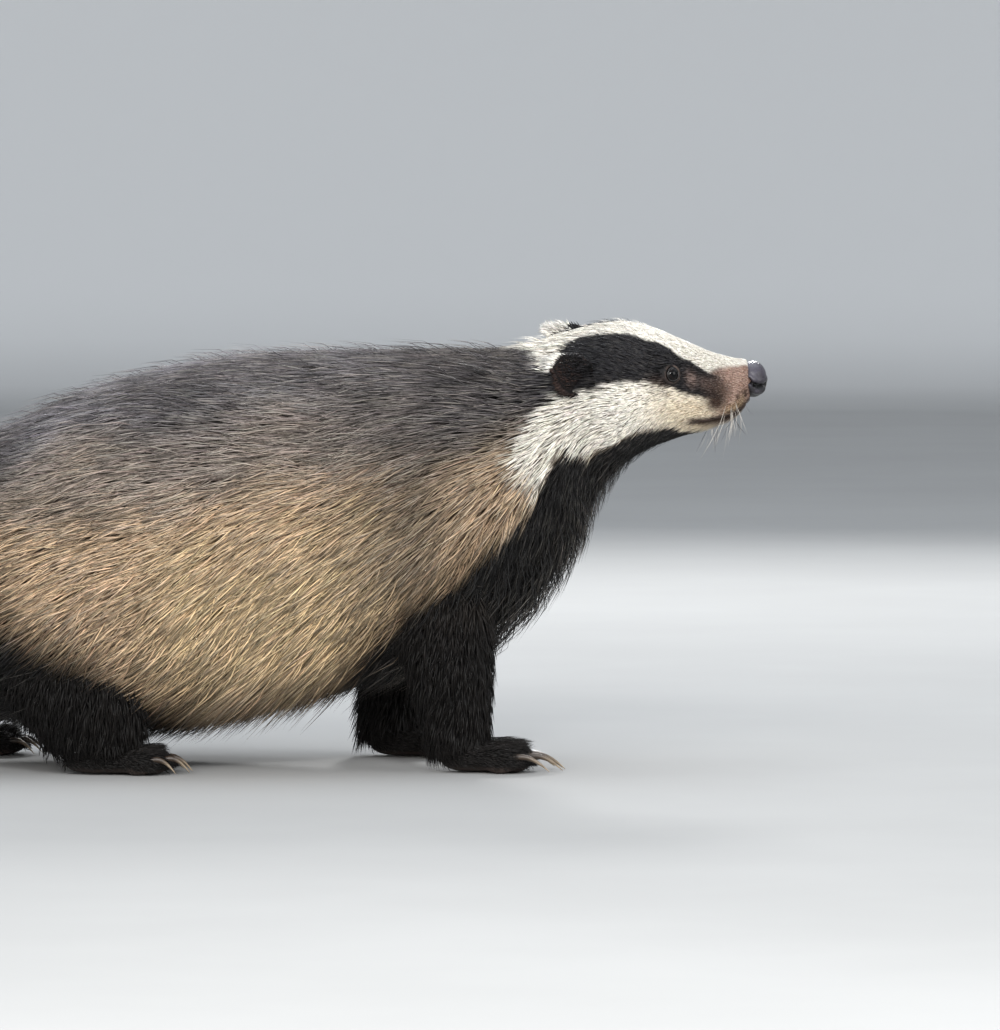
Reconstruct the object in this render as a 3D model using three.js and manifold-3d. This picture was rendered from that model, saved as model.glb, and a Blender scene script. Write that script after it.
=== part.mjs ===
// European badger, life size, standing on all four feet with its head raised and stretched forward.
// Millimetres. +X is the way the badger faces, +Y its left, +Z up. The floor is z = 0.
import * as THREE from 'three';
import { mergeVertices } from 'three/addons/utils/BufferGeometryUtils.js';
import Module from 'manifold-3d';

const wasm = await Module();
wasm.setup();

// Driving sizes
const GAP = 0.35; // clearance between neighbouring pieces
const ROUND_BODY = 26; // points round a section of the body
const ROUND_HEAD = 32; // points round a section of the head
const HEAD_ROLL = THREE.MathUtils.degToRad(9); // the crown leans towards the badger's right
const SECTION_POWER = 2.25; // superellipse power of every trunk section

// Sections of the trunk from the rump to the nose. Each one spans from a point on the back line to a point on the
// belly line, as [x, z]. half is the half width, level the height of the widest place as a share of the section,
// and coat the depth of the hair that the outline includes.
const SECTIONS = [
  { name: 'rump end', top: [-283, 150], bottom: [-283, 112], half: 12, level: 0.5, coat: 20 },
  { name: 'rump', top: [-274, 184], bottom: [-272, 82], half: 62, level: 0.48, coat: 19 },
  { name: 'tail root', top: [-257, 208], bottom: [-254, 60], half: 93, level: 0.46, coat: 18 },
  { name: 'hip', top: [-233, 228], bottom: [-229, 47], half: 113, level: 0.44, coat: 17 },
  { name: 'thigh', top: [-197, 243], bottom: [-193, 40], half: 127, level: 0.42, coat: 16 },
  { name: 'loin', top: [-154, 263], bottom: [-151, 32], half: 134, level: 0.4, coat: 16 },
  { name: 'belly', top: [-104, 280], bottom: [-97, 30], half: 136, level: 0.4, coat: 16 },
  { name: 'ribs', top: [-47, 293], bottom: [-40, 34], half: 131, level: 0.41, coat: 16 },
  { name: 'withers', top: [17, 298], bottom: [24, 50], half: 120, level: 0.42, coat: 15 },
  { name: 'shoulder', top: [81, 299], bottom: [89, 68], half: 107, level: 0.44, coat: 14 },
  { name: 'chest', top: [124, 300], bottom: [149, 93], half: 94, level: 0.45, coat: 13 },
  { name: 'neck base', top: [156, 300], bottom: [185, 121], half: 82, level: 0.46, coat: 12 },
  { name: 'neck', top: [181, 304], bottom: [211, 157], half: 71, level: 0.46, coat: 10 },
  { name: 'nape', top: [203, 312], bottom: [230, 191], half: 63, level: 0.48, coat: 7 },
  { name: 'cheek', top: [226, 318], bottom: [247, 214], half: 60, level: 0.46, coat: 5 },
  { name: 'crown', top: [249, 320], bottom: [267, 227], half: 54, level: 0.45, coat: 4 },
  { name: 'eyes', top: [271, 315], bottom: [283, 233], half: 42, level: 0.47, coat: 3 },
  { name: 'muzzle root', top: [292, 306], bottom: [298, 238], half: 31, level: 0.46, coat: 2 },
  { name: 'muzzle', top: [311, 298], bottom: [313, 243], half: 25, level: 0.45, coat: 2 },
  { name: 'lips', top: [328, 293], bottom: [326, 249], half: 21.5, level: 0.46, coat: 1.5 },
  { name: 'nose root', top: [338, 291], bottom: [336, 257], half: 16, level: 0.5, coat: 1.5 },
  { name: 'snout end', top: [345, 279], bottom: [344, 271], half: 4, level: 0.5, coat: 1.5 },
];
const LAST = SECTIONS.length - 1;
const sectionNumber = (name) => SECTIONS.findIndex((s) => s.name === name);

// Soft swellings and hollows on the trunk: place along it (u), angle round it, their reach and their height.
const SWELLINGS = [
  { name: 'thigh muscle', u: 4.3, angle: -12, reachU: 1.3, reachAngle: 38, height: 6 },
  { name: 'shoulder muscle', u: 9.6, angle: -4, reachU: 1.1, reachAngle: 40, height: 6 },
  { name: 'flank hollow', u: 7.6, angle: -8, reachU: 0.9, reachAngle: 45, height: -4 },
  { name: 'cheek muscle', u: 14.2, angle: -8, reachU: 0.9, reachAngle: 32, height: 4 },
  { name: 'brow', u: 16.1, angle: 42, reachU: 0.5, reachAngle: 18, height: 2.2 },
  { name: 'hollow before the eye', u: 17.2, angle: 25, reachU: 0.5, reachAngle: 22, height: -2 },
  { name: 'whisker pad', u: 19.1, angle: -12, reachU: 0.8, reachAngle: 28, height: 1.6 },
];

const EYE = { u: 16.46, angle: 22, radius: 6.4, sink: 4.2 };
const EAR = { u: 13.57, angle: 18, length: 35, width: 38, cup: 9, wall: 3.4, root: 10 };
const NOSE = { centre: [341.6, 0, 277.3], reach: 10.2, half: 13.4, up: 12.7, down: 13.3 };
const MOUTH = { from: 17.45, to: 20.35, back: 250, front: 262, depth: 2.6, gape: 1.1 };
const LOCK = { length: 98, half: 24, thick: 6, root: 5, along: 70, across: 52 };
const TAIL_LOCK = { length: 54, half: 13, thick: 4.5, root: 3, from: 0.12, to: 0.7, rows: 3, round: 5 };
const CORE_SHARE = 0.5; // the core under the locks lies this share of the coat's depth below the outline
const TAIL = { root: [-262, 0, 176], bend: [-312, 0, 142], tip: [-345, 0, 52], radius: 30 };

const mix = THREE.MathUtils.lerp;
const smooth = (x, low, high) => THREE.MathUtils.smoothstep(x, low, high);
const vec = (x, y, z) => new THREE.Vector3(x, y, z);

// Catmull-Rom value of a list of numbers at place u.
function alongList(values, u) {
  const i = Math.min(Math.max(Math.floor(u), 0), values.length - 2);
  const t = u - i;
  const [p1, p2] = [values[i], values[i + 1]];
  const p0 = i > 0 ? values[i - 1] : 2 * p1 - p2;
  const p3 = i + 2 < values.length ? values[i + 2] : 2 * p2 - p1;
  const a = -p0 + 3 * p1 - 3 * p2 + p3;
  const b = 2 * p0 - 5 * p1 + 4 * p2 - p3;
  return 0.5 * (2 * p1 + (p2 - p0) * t + b * t * t + a * t * t * t);
}

const FIELDS = {
  topX: SECTIONS.map((s) => s.top[0]),
  topZ: SECTIONS.map((s) => s.top[1]),
  bottomX: SECTIONS.map((s) => s.bottom[0]),
  bottomZ: SECTIONS.map((s) => s.bottom[1]),
  half: SECTIONS.map((s) => s.half),
  level: SECTIONS.map((s) => s.level),
  coat: SECTIONS.map((s) => s.coat),
};

function section(u) {
  const f = {};
  for (const key in FIELDS) f[key] = alongList(FIELDS[key], u);
  const top = vec(f.topX, 0, f.topZ);
  const bottom = vec(f.bottomX, 0, f.bottomZ);
  const centre = bottom.clone().lerp(top, f.level);
  const roll = HEAD_ROLL * smooth(u, sectionNumber('neck base'), sectionNumber('cheek'));
  return { top, bottom, centre, half: f.half, coat: f.coat, roll };
}

function swell(u, angle) {
  const side = Math.atan2(Math.sin(angle), Math.abs(Math.cos(angle)));
  let height = 0;
  for (const s of SWELLINGS) {
    const du = (u - s.u) / s.reachU;
    const da = (THREE.MathUtils.radToDeg(side) - s.angle) / s.reachAngle;
    height += s.height * Math.exp(-du * du - da * da);
  }
  return height;
}

// A point on the outline surface: u runs from rump to nose, angle is 90 degrees on the back and 0 on the left side.
function outlinePoint(u, angle) {
  const s = section(u);
  const [cos, sin] = [Math.cos(angle), Math.sin(angle)];
  const power = 2 / SECTION_POWER;
  const rise = (sin >= 0 ? s.top : s.bottom).clone().sub(s.centre);
  const aside = Math.sign(cos) * Math.abs(cos) ** power * s.half;
  const p = rise.multiplyScalar(Math.abs(sin) ** power).add(vec(0, aside, 0));
  const length = p.length();
  if (length > 0) p.multiplyScalar(1 + swell(u, angle) / length);
  return p.applyAxisAngle(vec(1, 0, 0), s.roll).add(s.centre);
}

function outlineNormal(u, angle) {
  const [du, da] = [0.04, 0.04];
  const at = Math.min(Math.max(u, 2 * du), LAST - 2 * du);
  const along = outlinePoint(at + du, angle).sub(outlinePoint(at - du, angle));
  const round = outlinePoint(at, angle + da).sub(outlinePoint(at, angle - da));
  return along.cross(round).negate().normalize();
}

// How deep the core under the locks lies; it meets the outline at the nape, where the short hair of the head begins.
const coreDepth = (u) => CORE_SHARE * section(u).coat * (1 - smooth(u, sectionNumber('neck'), HEAD_FROM));

// A point on the core, lifted along the normal.
const corePoint = (u, angle, lift = 0) =>
  outlinePoint(u, angle).addScaledVector(outlineNormal(u, angle), lift - coreDepth(u));

// Turns rings of points, or single points for the poles, into one closed solid.
function loft(rings) {
  const points = [];
  const triangles = [];
  const rows = rings.map((ring) => {
    const start = points.length;
    points.push(...(Array.isArray(ring) ? ring : [ring]));
    return { start, count: points.length - start };
  });
  const fan = (row, tip, turn) => {
    for (let k = 0; k < row.count; k++) {
      const [a, b] = [row.start + k, row.start + ((k + 1) % row.count)];
      triangles.push(...(turn ? [tip, b, a] : [tip, a, b]));
    }
  };
  for (let r = 0; r + 1 < rows.length; r++) {
    const [low, high] = [rows[r], rows[r + 1]];
    if (low.count === 1) fan(high, low.start, true);
    else if (high.count === 1) fan(low, high.start, false);
    else {
      for (let k = 0; k < low.count; k++) {
        const next = (k + 1) % low.count;
        const [a, b, c, d] = [low.start + k, low.start + next, high.start + k, high.start + next];
        triangles.push(a, b, d, a, d, c);
      }
    }
  }
  for (const [row, turn] of [[rows[0], true], [rows[rows.length - 1], false]]) {
    if (row.count === 1) continue;
    const middle = vec(0, 0, 0);
    for (let k = 0; k < row.count; k++) middle.add(points[row.start + k]);
    points.push(middle.divideScalar(row.count));
    fan(row, points.length - 1, turn);
  }
  return closedSolid(points, triangles);
}

function closedSolid(points, triangles) {
  let volume = 0;
  for (let i = 0; i < triangles.length; i += 3) {
    const [a, b, c] = [0, 1, 2].map((k) => points[triangles[i + k]]);
    volume += a.dot(b.clone().cross(c));
  }
  const facing = triangles.slice();
  if (volume < 0) facing.reverse();
  const vertProperties = new Float32Array(points.flatMap((p) => p.toArray()));
  return new wasm.Manifold(new wasm.Mesh({ numProp: 3, vertProperties, triVerts: new Uint32Array(facing) }));
}

// A three.js geometry, moved by a matrix, as a solid.
function solidOf(geometry, matrix = new THREE.Matrix4()) {
  const bare = geometry.clone().applyMatrix4(matrix);
  bare.deleteAttribute('normal');
  bare.deleteAttribute('uv');
  const merged = mergeVertices(bare, 1e-4);
  const vertProperties = merged.attributes.position.array;
  const triVerts = new Uint32Array(merged.index.array);
  return new wasm.Manifold(new wasm.Mesh({ numProp: 3, vertProperties, triVerts }));
}

const ball = (centre, radii, across = 14, down = 10) =>
  solidOf(
    new THREE.SphereGeometry(1, across, down),
    new THREE.Matrix4().compose(centre, new THREE.Quaternion(), radii),
  );

const joined = (solids) => wasm.Manifold.union(solids);

// The closed surfaces of a solid, largest first. A surface that bounds a sealed hollow is one of its own.
function surfaces(solid) {
  const { numProp, vertProperties, triVerts, mergeFromVert, mergeToVert } = solid.getMesh();
  const same = Array.from({ length: vertProperties.length / numProp }, (_, i) => i);
  mergeFromVert.forEach((from, i) => (same[from] = mergeToVert[i]));
  const parent = same.slice();
  const group = (i) => {
    while (parent[i] !== i) i = parent[i] = parent[parent[i]];
    return i;
  };
  for (let i = 0; i < triVerts.length; i += 3) {
    for (const k of [1, 2]) parent[group(same[triVerts[i + k]])] = group(same[triVerts[i]]);
  }
  const cornersOf = new Map();
  triVerts.forEach((corner) => {
    const key = group(same[corner]);
    if (!cornersOf.has(key)) cornersOf.set(key, []);
    cornersOf.get(key).push(same[corner]);
  });
  const solids = [...cornersOf.values()].map((corners) => {
    const used = [...new Set(corners)];
    const place = new Map(used.map((corner, i) => [corner, i]));
    const positions = used.flatMap((corner) => [...vertProperties.slice(corner * numProp, corner * numProp + 3)]);
    const triangles = new Uint32Array(corners.map((corner) => place.get(corner)));
    const mesh = new wasm.Mesh({ numProp: 3, vertProperties: new Float32Array(positions), triVerts: triangles });
    return new wasm.Manifold(mesh);
  });
  return solids.sort((a, b) => b.volume() - a.volume());
}

// The largest closed surface of a solid: loose scraps are dropped and sealed hollows filled.
const largest = (solid) => surfaces(solid)[0];

// Cuts everything under the floor away, so that soles are flat.
function standing(solid) {
  const deep = 60;
  const under = new THREE.Matrix4().makeTranslation(0, 0, -deep / 2);
  return solid.subtract(solidOf(new THREE.BoxGeometry(1200, 600, deep), under));
}

// A thin slab along the trunk's section at u, which parts two pieces.
function parting(u) {
  const s = section(u);
  const up = s.top.clone().sub(s.bottom).applyAxisAngle(vec(1, 0, 0), s.roll).normalize();
  const across = vec(0, 1, 0).applyAxisAngle(vec(1, 0, 0), s.roll);
  const along = across.clone().cross(up);
  const frame = new THREE.Matrix4().makeBasis(along, across, up).setPosition(s.centre);
  return solidOf(new THREE.BoxGeometry(GAP, 420, 420), frame);
}

// Trunk: one form from rump to nose, parted into torso, neck and head.
const NECK_FROM = 10.9;
const HEAD_FROM = 13.05;

// One stretch of the trunk: rows of sections from one place to another, closed by a point at each end.
function trunkSpan(from, to, step, round) {
  const angles = Array.from({ length: round }, (_, k) => (2 * Math.PI * (k + 0.5)) / round);
  const rows = Math.ceil((to - from) / step);
  const rings = Array.from({ length: rows + 1 }, (_, i) => {
    const u = mix(from, to, i / rows);
    return angles.map((angle) => corePoint(u, angle));
  });
  return loft([section(from - 0.3).centre, ...rings, section(to + 0.1).centre]);
}

// A seeded draw between -1 and 1.
function drawFrom(seed) {
  let state = seed;
  return () => {
    state = (Math.imul(state, 1664525) + 1013904223) >>> 0;
    return state / 2 ** 31 - 1;
  };
}

// The lie of the coat: back along the spine, falling more steeply down the flanks and the front of the chest.
function lieOfCoat(u, angle) {
  const low = -Math.sin(angle);
  const chest = smooth(u, sectionNumber('shoulder'), sectionNumber('neck base')) * smooth(low, -0.3, 0.6);
  const fall = THREE.MathUtils.degToRad(mix(5, 48, smooth(low, -0.95, 0.5)) + 38 * chest);
  return vec(-Math.cos(fall), 0, -Math.sin(fall));
}

// The place that a step along the lie leads to, on the core.
function stepAlongLie(u, angle, length) {
  const [du, da] = [0.05, 0.05];
  const at = Math.min(Math.max(u, 3 * du), LAST - 3 * du);
  const alongU = corePoint(at + du, angle).sub(corePoint(at - du, angle)).divideScalar(2 * du);
  const alongA = corePoint(at, angle + da).sub(corePoint(at, angle - da)).divideScalar(2 * da);
  const normal = outlineNormal(at, angle);
  const lie = lieOfCoat(u, angle);
  lie.addScaledVector(normal, -lie.dot(normal)).setLength(length);
  const [uu, aa, ua] = [alongU.dot(alongU), alongA.dot(alongA), alongU.dot(alongA)];
  const [lu, la] = [lie.dot(alongU), lie.dot(alongA)];
  const det = uu * aa - ua * ua;
  return [Math.max(at + (lu * aa - la * ua) / det, 0.12), angle + (la * uu - lu * ua) / det];
}

// One lock: a flat blade with a low ridge. Each step holds its place, the way out of the skin and its width share.
function bladeOf(steps, half, thick) {
  const rings = steps.map(({ at, out, share }, i) => {
    if (share === 0) return at;
    const next = steps[Math.min(i + 1, steps.length - 1)].at;
    const along = next.clone().sub(steps[Math.max(i - 1, 0)].at).normalize();
    const aside = along.cross(out).setLength(half * share);
    return [at.clone().add(aside), at.clone().sub(aside), at.clone().addScaledVector(out, thick * Math.sqrt(share))];
  });
  return loft(rings);
}

// A lock of the trunk, rooted in the core and rising to the outline at its tip.
function trunkLock(u, angle, size, draw) {
  const shares = [0.6, 1, 0.7, 0];
  const lifts = [-1, 0.15, 0.55, 1.0 + 0.15 * draw()];
  const swing = 0.12 * draw();
  let place = [u, angle];
  const steps = shares.map((share, i) => {
    if (i > 0) place = stepAlongLie(place[0], place[1] + (swing * size) / LOCK.length / 3, (LOCK.length * size) / 3);
    const out = outlineNormal(...place);
    const lift = i === 0 ? -LOCK.root : lifts[i] * coreDepth(place[0]) - (share ? LOCK.thick * 0.35 : 0);
    return { at: corePoint(place[0], place[1], lift), out, share };
  });
  return bladeOf(steps, LOCK.half * size, LOCK.thick);
}

// Angles that stand evenly spaced round a section, by the length of the outline between them.
function evenAngles(u, count, shift) {
  const fine = 90;
  const lengths = [0];
  for (let i = 1; i <= fine; i++) {
    const [a, b] = [(2 * Math.PI * (i - 1)) / fine, (2 * Math.PI * i) / fine];
    lengths.push(lengths[i - 1] + outlinePoint(u, a).distanceTo(outlinePoint(u, b)));
  }
  return Array.from({ length: count }, (_, k) => {
    const wanted = (((k + shift) % count) / count) * lengths[fine];
    const i = lengths.findIndex((length, j) => j > 0 && length >= wanted);
    const share = (wanted - lengths[i - 1]) / (lengths[i] - lengths[i - 1]);
    return (2 * Math.PI * (i - 1 + share)) / fine;
  });
}

// Staggered rows of locks from the nape back to the rump. The middle of the belly is nearly bare.
function trunkLocks() {
  const draw = drawFrom(7);
  const locks = [];
  const from = sectionNumber('nape') - 0.15;
  let u = from;
  for (let row = 0; u > 0.55; row++) {
    const s = section(u);
    const girth = Math.PI * (s.half + s.top.distanceTo(s.bottom) / 2);
    const small = 0.25 * smooth(u, sectionNumber('chest'), from);
    const count = Math.max(8, Math.round(girth / (LOCK.across * (1 - small))));
    for (const even of evenAngles(u, count, (row % 2) / 2)) {
      const angle = even + (0.15 * draw()) / count;
      const size = 1 + 0.1 * draw() - small;
      const at = u + 0.12 * draw();
      const bare = u < sectionNumber('shoulder') ? -0.9 : -1.1;
      if (Math.sin(angle) > bare) locks.push(trunkLock(at, angle, size, draw));
    }
    const side = THREE.MathUtils.degToRad(40);
    u -= (LOCK.along * (1 - small)) / corePoint(u + 0.5, side).distanceTo(corePoint(u - 0.5, side));
  }
  return locks;
}

// Legs: sections from the top, hidden in the trunk, to the ankle, as [x, y, z, reach fore and aft, reach aside].
const LEGS = {
  foreleg_right: {
    side: -1,
    sections: [
      [112, 60, 132, 40, 26],
      [118, 66, 104, 39, 27],
      [124, 69, 76, 33, 25],
      [128, 70, 48, 28, 22],
      [131, 70, 22, 24, 20],
      [134, 70, 8, 22, 20],
    ],
    paw: { heel: [118, 70], length: 66, half: 24, height: 25, claw: 22 },
  },
  foreleg_left: {
    side: 1,
    sections: [
      [110, 60, 132, 40, 26],
      [104, 66, 104, 38, 27],
      [94, 69, 76, 32, 25],
      [84, 70, 48, 27, 22],
      [80, 70, 22, 24, 20],
      [82, 70, 8, 22, 20],
    ],
    paw: { heel: [66, 70], length: 66, half: 24, height: 25, claw: 22 },
  },
  hindleg_right: {
    side: -1,
    sections: [
      [-166, 80, 104, 52, 30],
      [-150, 88, 74, 51, 31],
      [-136, 90, 48, 47, 28],
      [-128, 89, 28, 38, 24],
      [-122, 88, 16, 30, 21],
      [-120, 88, 8, 28, 20],
    ],
    paw: { heel: [-150, 88], length: 78, half: 22, height: 23, claw: 13 },
  },
  hindleg_left: {
    side: 1,
    sections: [
      [-206, 80, 104, 46, 30],
      [-214, 88, 74, 43, 30],
      [-226, 90, 48, 36, 27],
      [-236, 89, 28, 30, 23],
      [-236, 88, 16, 27, 21],
      [-234, 88, 8, 26, 20],
    ],
    paw: { heel: [-264, 88], length: 78, half: 22, height: 23, claw: 13 },
  },
};
const ANKLE = 20; // height where leg and paw part
const TOES = 5;

function legSolid(leg, extra = 0) {
  const round = 14;
  const rings = [];
  const rows = leg.sections.length - 1;
  for (let t = 0; t <= rows; t += 5 / 7) {
    const [x, y, z, reachX, reachY] = [0, 1, 2, 3, 4].map((k) => alongList(leg.sections.map((s) => s[k]), t));
    rings.push(
      Array.from({ length: round }, (_, k) => {
        const a = (2 * Math.PI * k) / round;
        return vec(x + (reachX + extra) * Math.cos(a), leg.side * (y + (reachY + extra) * Math.sin(a)), z);
      }),
    );
  }
  const [first] = leg.sections;
  rings.unshift(vec(first[0], leg.side * first[1], first[2] + 12 + extra));
  return loft(rings);
}

// The five toes spread across the front of a paw: place, size and heading of each.
function toesOf(leg) {
  const { heel, length, half, height } = leg.paw;
  return Array.from({ length: TOES }, (_, k) => {
    const share = (k - (TOES - 1) / 2) / ((TOES - 1) / 2);
    const heading = share * 0.16;
    const back = 7 * share * share + (k === 0 ? 4 : 0);
    return {
      centre: vec(heel[0] + length - 13 - back, leg.side * (heel[1] - share * half * 0.82), height * 0.34),
      radii: vec(15, half * 0.27, height * 0.42),
      heading: -leg.side * heading,
    };
  });
}

function pawSolid(leg) {
  const { heel, length, half, height } = leg.paw;
  const rows = [0.015, 0.1, 0.3, 0.6, 0.86];
  const round = 12;
  const rings = rows.map((t) => {
    const heelRound = Math.sqrt(1 - (1 - Math.min(t / 0.3, 1)) ** 2);
    const wide = half * heelRound * (0.82 + 0.14 * t);
    const high = height * heelRound * mix(1.0, 0.55, t);
    return Array.from({ length: round }, (_, k) => {
      const a = (2 * Math.PI * k) / round;
      const up = Math.sin(a) > 0 ? high * Math.sin(a) : 9 * heelRound * Math.sin(a);
      return vec(heel[0] + length * t, leg.side * (heel[1] + wide * Math.cos(a)), 7 + up);
    });
  });
  const toes = toesOf(leg).map((toe) => {
    const turned = new THREE.Quaternion().setFromAxisAngle(vec(0, 0, 1), toe.heading);
    const matrix = new THREE.Matrix4().compose(toe.centre, turned, toe.radii);
    return solidOf(new THREE.SphereGeometry(1, 7, 5), matrix);
  });
  return joined([loft(rings), ...toes]);
}

// A claw: a tapered hook along a bent line from inside its toe, out and down to just above the floor.
function clawSolid(leg, toe, extra = 0) {
  const long = leg.paw.claw;
  const steps = 3;
  const forward = vec(Math.cos(toe.heading), Math.sin(toe.heading), 0);
  const aside = vec(-forward.y, forward.x, 0);
  const start = toe.centre.clone().addScaledVector(forward, toe.radii.x - 7).add(vec(0, 0, 2.5));
  const lineAt = (t) => {
    const drop = (start.z - 1.3) * t * t;
    return start.clone().addScaledVector(forward, (long + 6) * t).add(vec(0, 0, 2.2 * Math.sin(Math.PI * t) - drop));
  };
  const rings = [];
  for (let i = 0; i < steps; i++) {
    const t = i / steps;
    const reach = 2.7 * (1 - t) ** 0.6 + extra;
    const centre = lineAt(t);
    rings.push(
      [0, 1, 2, 3].map((k) => {
        const a = (2 * Math.PI * k) / 4;
        return centre.clone().addScaledVector(aside, reach * 0.8 * Math.cos(a)).add(vec(0, 0, reach * Math.sin(a)));
      }),
    );
  }
  rings.push(lineAt(1).addScaledVector(forward, extra));
  return loft(rings);
}

// Tail: a bushy form along a bent line, widest past its middle.
function tailCurve() {
  return new THREE.QuadraticBezierCurve3(vec(...TAIL.root), vec(...TAIL.bend), vec(...TAIL.tip));
}

function tailReach(t) {
  return TAIL.radius * (0.72 + 0.9 * t - 0.62 * t * t) * Math.sqrt(1 - t ** 4);
}

// A point on the tail's outline, moved inwards by a depth.
function tailPoint(t, angle, depth) {
  const curve = tailCurve();
  const [at, along] = [curve.getPoint(t), curve.getTangent(t)];
  const across = vec(0, 1, 0);
  const up = along.clone().cross(across);
  const reach = Math.max(tailReach(t) - depth, 2);
  return at.addScaledVector(across, reach * 1.15 * Math.cos(angle)).addScaledVector(up, reach * Math.sin(angle));
}

function tailForm(depthAt) {
  const curve = tailCurve();
  const round = 12;
  const rows = [0, 0.14, 0.3, 0.48, 0.66, 0.82, 0.94];
  const rings = rows.map((t) =>
    Array.from({ length: round }, (_, k) => tailPoint(t, (2 * Math.PI * k) / round, depthAt(t))),
  );
  return loft([...rings, curve.getPoint(1).addScaledVector(curve.getTangent(1), -depthAt(1))]);
}

// The core of the tail sinks below the outline behind its root, and locks lie along it to the tip.
const tailDepth = (t) => 8 * smooth(t, 0, 0.3);

function tailLock(t, angle, size) {
  const shares = [0.6, 1, 0.7, 0];
  const lifts = [0, 0.1, 0.5, 1];
  const stretch = (TAIL_LOCK.length * size) / tailCurve().getLength() / 3;
  const steps = shares.map((share, i) => {
    const at = Math.min(t + i * stretch, 0.995);
    const lift = i === 0 ? -TAIL_LOCK.root : lifts[i] * tailDepth(at) - (share ? TAIL_LOCK.thick * 0.4 : 0);
    const out = tailPoint(at, angle, 0).sub(tailCurve().getPoint(at)).normalize();
    return { at: tailPoint(at, angle, tailDepth(at) - lift), out, share };
  });
  return bladeOf(steps, TAIL_LOCK.half * size, TAIL_LOCK.thick);
}

function tailSolid() {
  const draw = drawFrom(3);
  const locks = [];
  for (let row = 0; row < TAIL_LOCK.rows; row++) {
    const t = mix(TAIL_LOCK.from, TAIL_LOCK.to, row / (TAIL_LOCK.rows - 1));
    for (let k = 0; k < TAIL_LOCK.round; k++) {
      const angle = (2 * Math.PI * (k + (row % 2) / 2 + 0.1 * draw())) / TAIL_LOCK.round;
      locks.push(tailLock(t + 0.03 * draw(), angle, 1 + 0.08 * draw()));
    }
  }
  return largest(joined([tailForm(tailDepth), ...locks]));
}

// The angle round the trunk that faces the left (side 1) or the right (side -1).
const mirrored = (degrees, side) => THREE.MathUtils.degToRad(side > 0 ? degrees : 180 - degrees);

// Eyes: balls set into the head, each ringed by its lids.
function eyeFrame(side) {
  const angle = mirrored(EYE.angle, side);
  const normal = outlineNormal(EYE.u, angle);
  const forward = outlinePoint(EYE.u + 0.1, angle).sub(outlinePoint(EYE.u - 0.1, angle));
  forward.addScaledVector(normal, -forward.dot(normal)).normalize();
  const up = normal.clone().cross(forward).multiplyScalar(side);
  const centre = outlinePoint(EYE.u, angle).addScaledVector(normal, -EYE.sink);
  return { centre, normal, forward, up };
}

const eyeBall = (side, extra = 0) => {
  const r = EYE.radius + extra;
  return ball(eyeFrame(side).centre, vec(r, r, r), 11, 8);
};

function lids(side) {
  const { centre, normal, forward, up } = eyeFrame(side);
  const round = 14;
  const thick = 1.7;
  const seat = EYE.radius + 0.9;
  const rings = Array.from({ length: round }, (_, k) => {
    const a = (2 * Math.PI * k) / round;
    const tilt = THREE.MathUtils.degToRad(mix(50, 70, Math.cos(a) ** 4));
    const outward = forward.clone().multiplyScalar(Math.cos(a)).addScaledVector(up, Math.sin(a));
    const spoke = normal.clone().multiplyScalar(Math.cos(tilt)).addScaledVector(outward, Math.sin(tilt));
    const middle = centre.clone().addScaledVector(spoke, seat);
    return [0, 1, 2, 3].map((j) => {
      const b = (2 * Math.PI * j) / 4;
      return middle.clone().addScaledVector(spoke, thick * Math.cos(b)).addScaledVector(
        normal.clone().multiplyScalar(Math.sin(tilt)).addScaledVector(outward, -Math.cos(tilt)),
        thick * 0.9 * Math.sin(b),
      );
    });
  });
  return ringLoft(rings);
}

// Rings joined end to end into a closed hoop.
function ringLoft(rings) {
  const count = rings[0].length;
  const triangles = [];
  rings.forEach((_, r) => {
    const next = (r + 1) % rings.length;
    for (let k = 0; k < count; k++) {
      const l = (k + 1) % count;
      const [a, b, c, d] = [r * count + k, r * count + l, next * count + k, next * count + l];
      triangles.push(a, b, d, a, d, c);
    }
  });
  return closedSolid(rings.flat(), triangles);
}

// Ears: a rounded cup whose sections are crescents, opening outwards and forwards.
function earFrame(side) {
  const angle = mirrored(EAR.angle, side);
  const normal = outlineNormal(EAR.u, angle);
  const root = outlinePoint(EAR.u, angle);
  const lean = vec(-0.72, 0, 0.62).applyAxisAngle(vec(1, 0, 0), HEAD_ROLL);
  const along = lean.addScaledVector(normal, 0.3).normalize();
  const facing = normal.clone().add(vec(0.35, 0, 0));
  facing.addScaledVector(along, -facing.dot(along)).normalize();
  const across = along.clone().cross(facing);
  return { root, along, facing, across };
}

function earSolid(side, extra = 0) {
  const { root, along, facing, across } = earFrame(side);
  const rows = [0, 0.2, 0.42, 0.64, 0.83, 0.96];
  const half = 5;
  const rings = rows.map((t) => {
    const wide = (EAR.width / 2) * Math.sqrt(Math.sin(Math.PI * (0.2 + 0.78 * t))) + extra;
    const deep = EAR.cup * Math.sin(Math.PI * (0.25 + 0.68 * t));
    const middle = root.clone().addScaledVector(along, t * (EAR.length + EAR.root) - EAR.root);
    const at = (share, lift) =>
      middle.clone().addScaledVector(across, wide * share).addScaledVector(facing, deep * share * share - deep + lift);
    const back = Array.from({ length: half + 1 }, (_, k) => {
      const share = -1 + (2 * k) / half;
      return at(share, -extra - (EAR.wall / 2) * Math.sqrt(1 - 0.92 * share * share));
    });
    const front = Array.from({ length: half + 1 }, (_, k) => {
      const share = 1 - (2 * k) / half;
      return at(share, extra + (EAR.wall / 2) * Math.sqrt(1 - 0.92 * share * share));
    });
    return [...back, ...front];
  });
  return loft(rings);
}

// Nose leather: a rounded pad with a comma-shaped nostril on each side.
const noseBall = (extra = 0) =>
  ball(vec(...NOSE.centre), vec(NOSE.reach + extra, NOSE.half + extra, (NOSE.up + NOSE.down) / 2 + extra), 12, 9);

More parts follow.
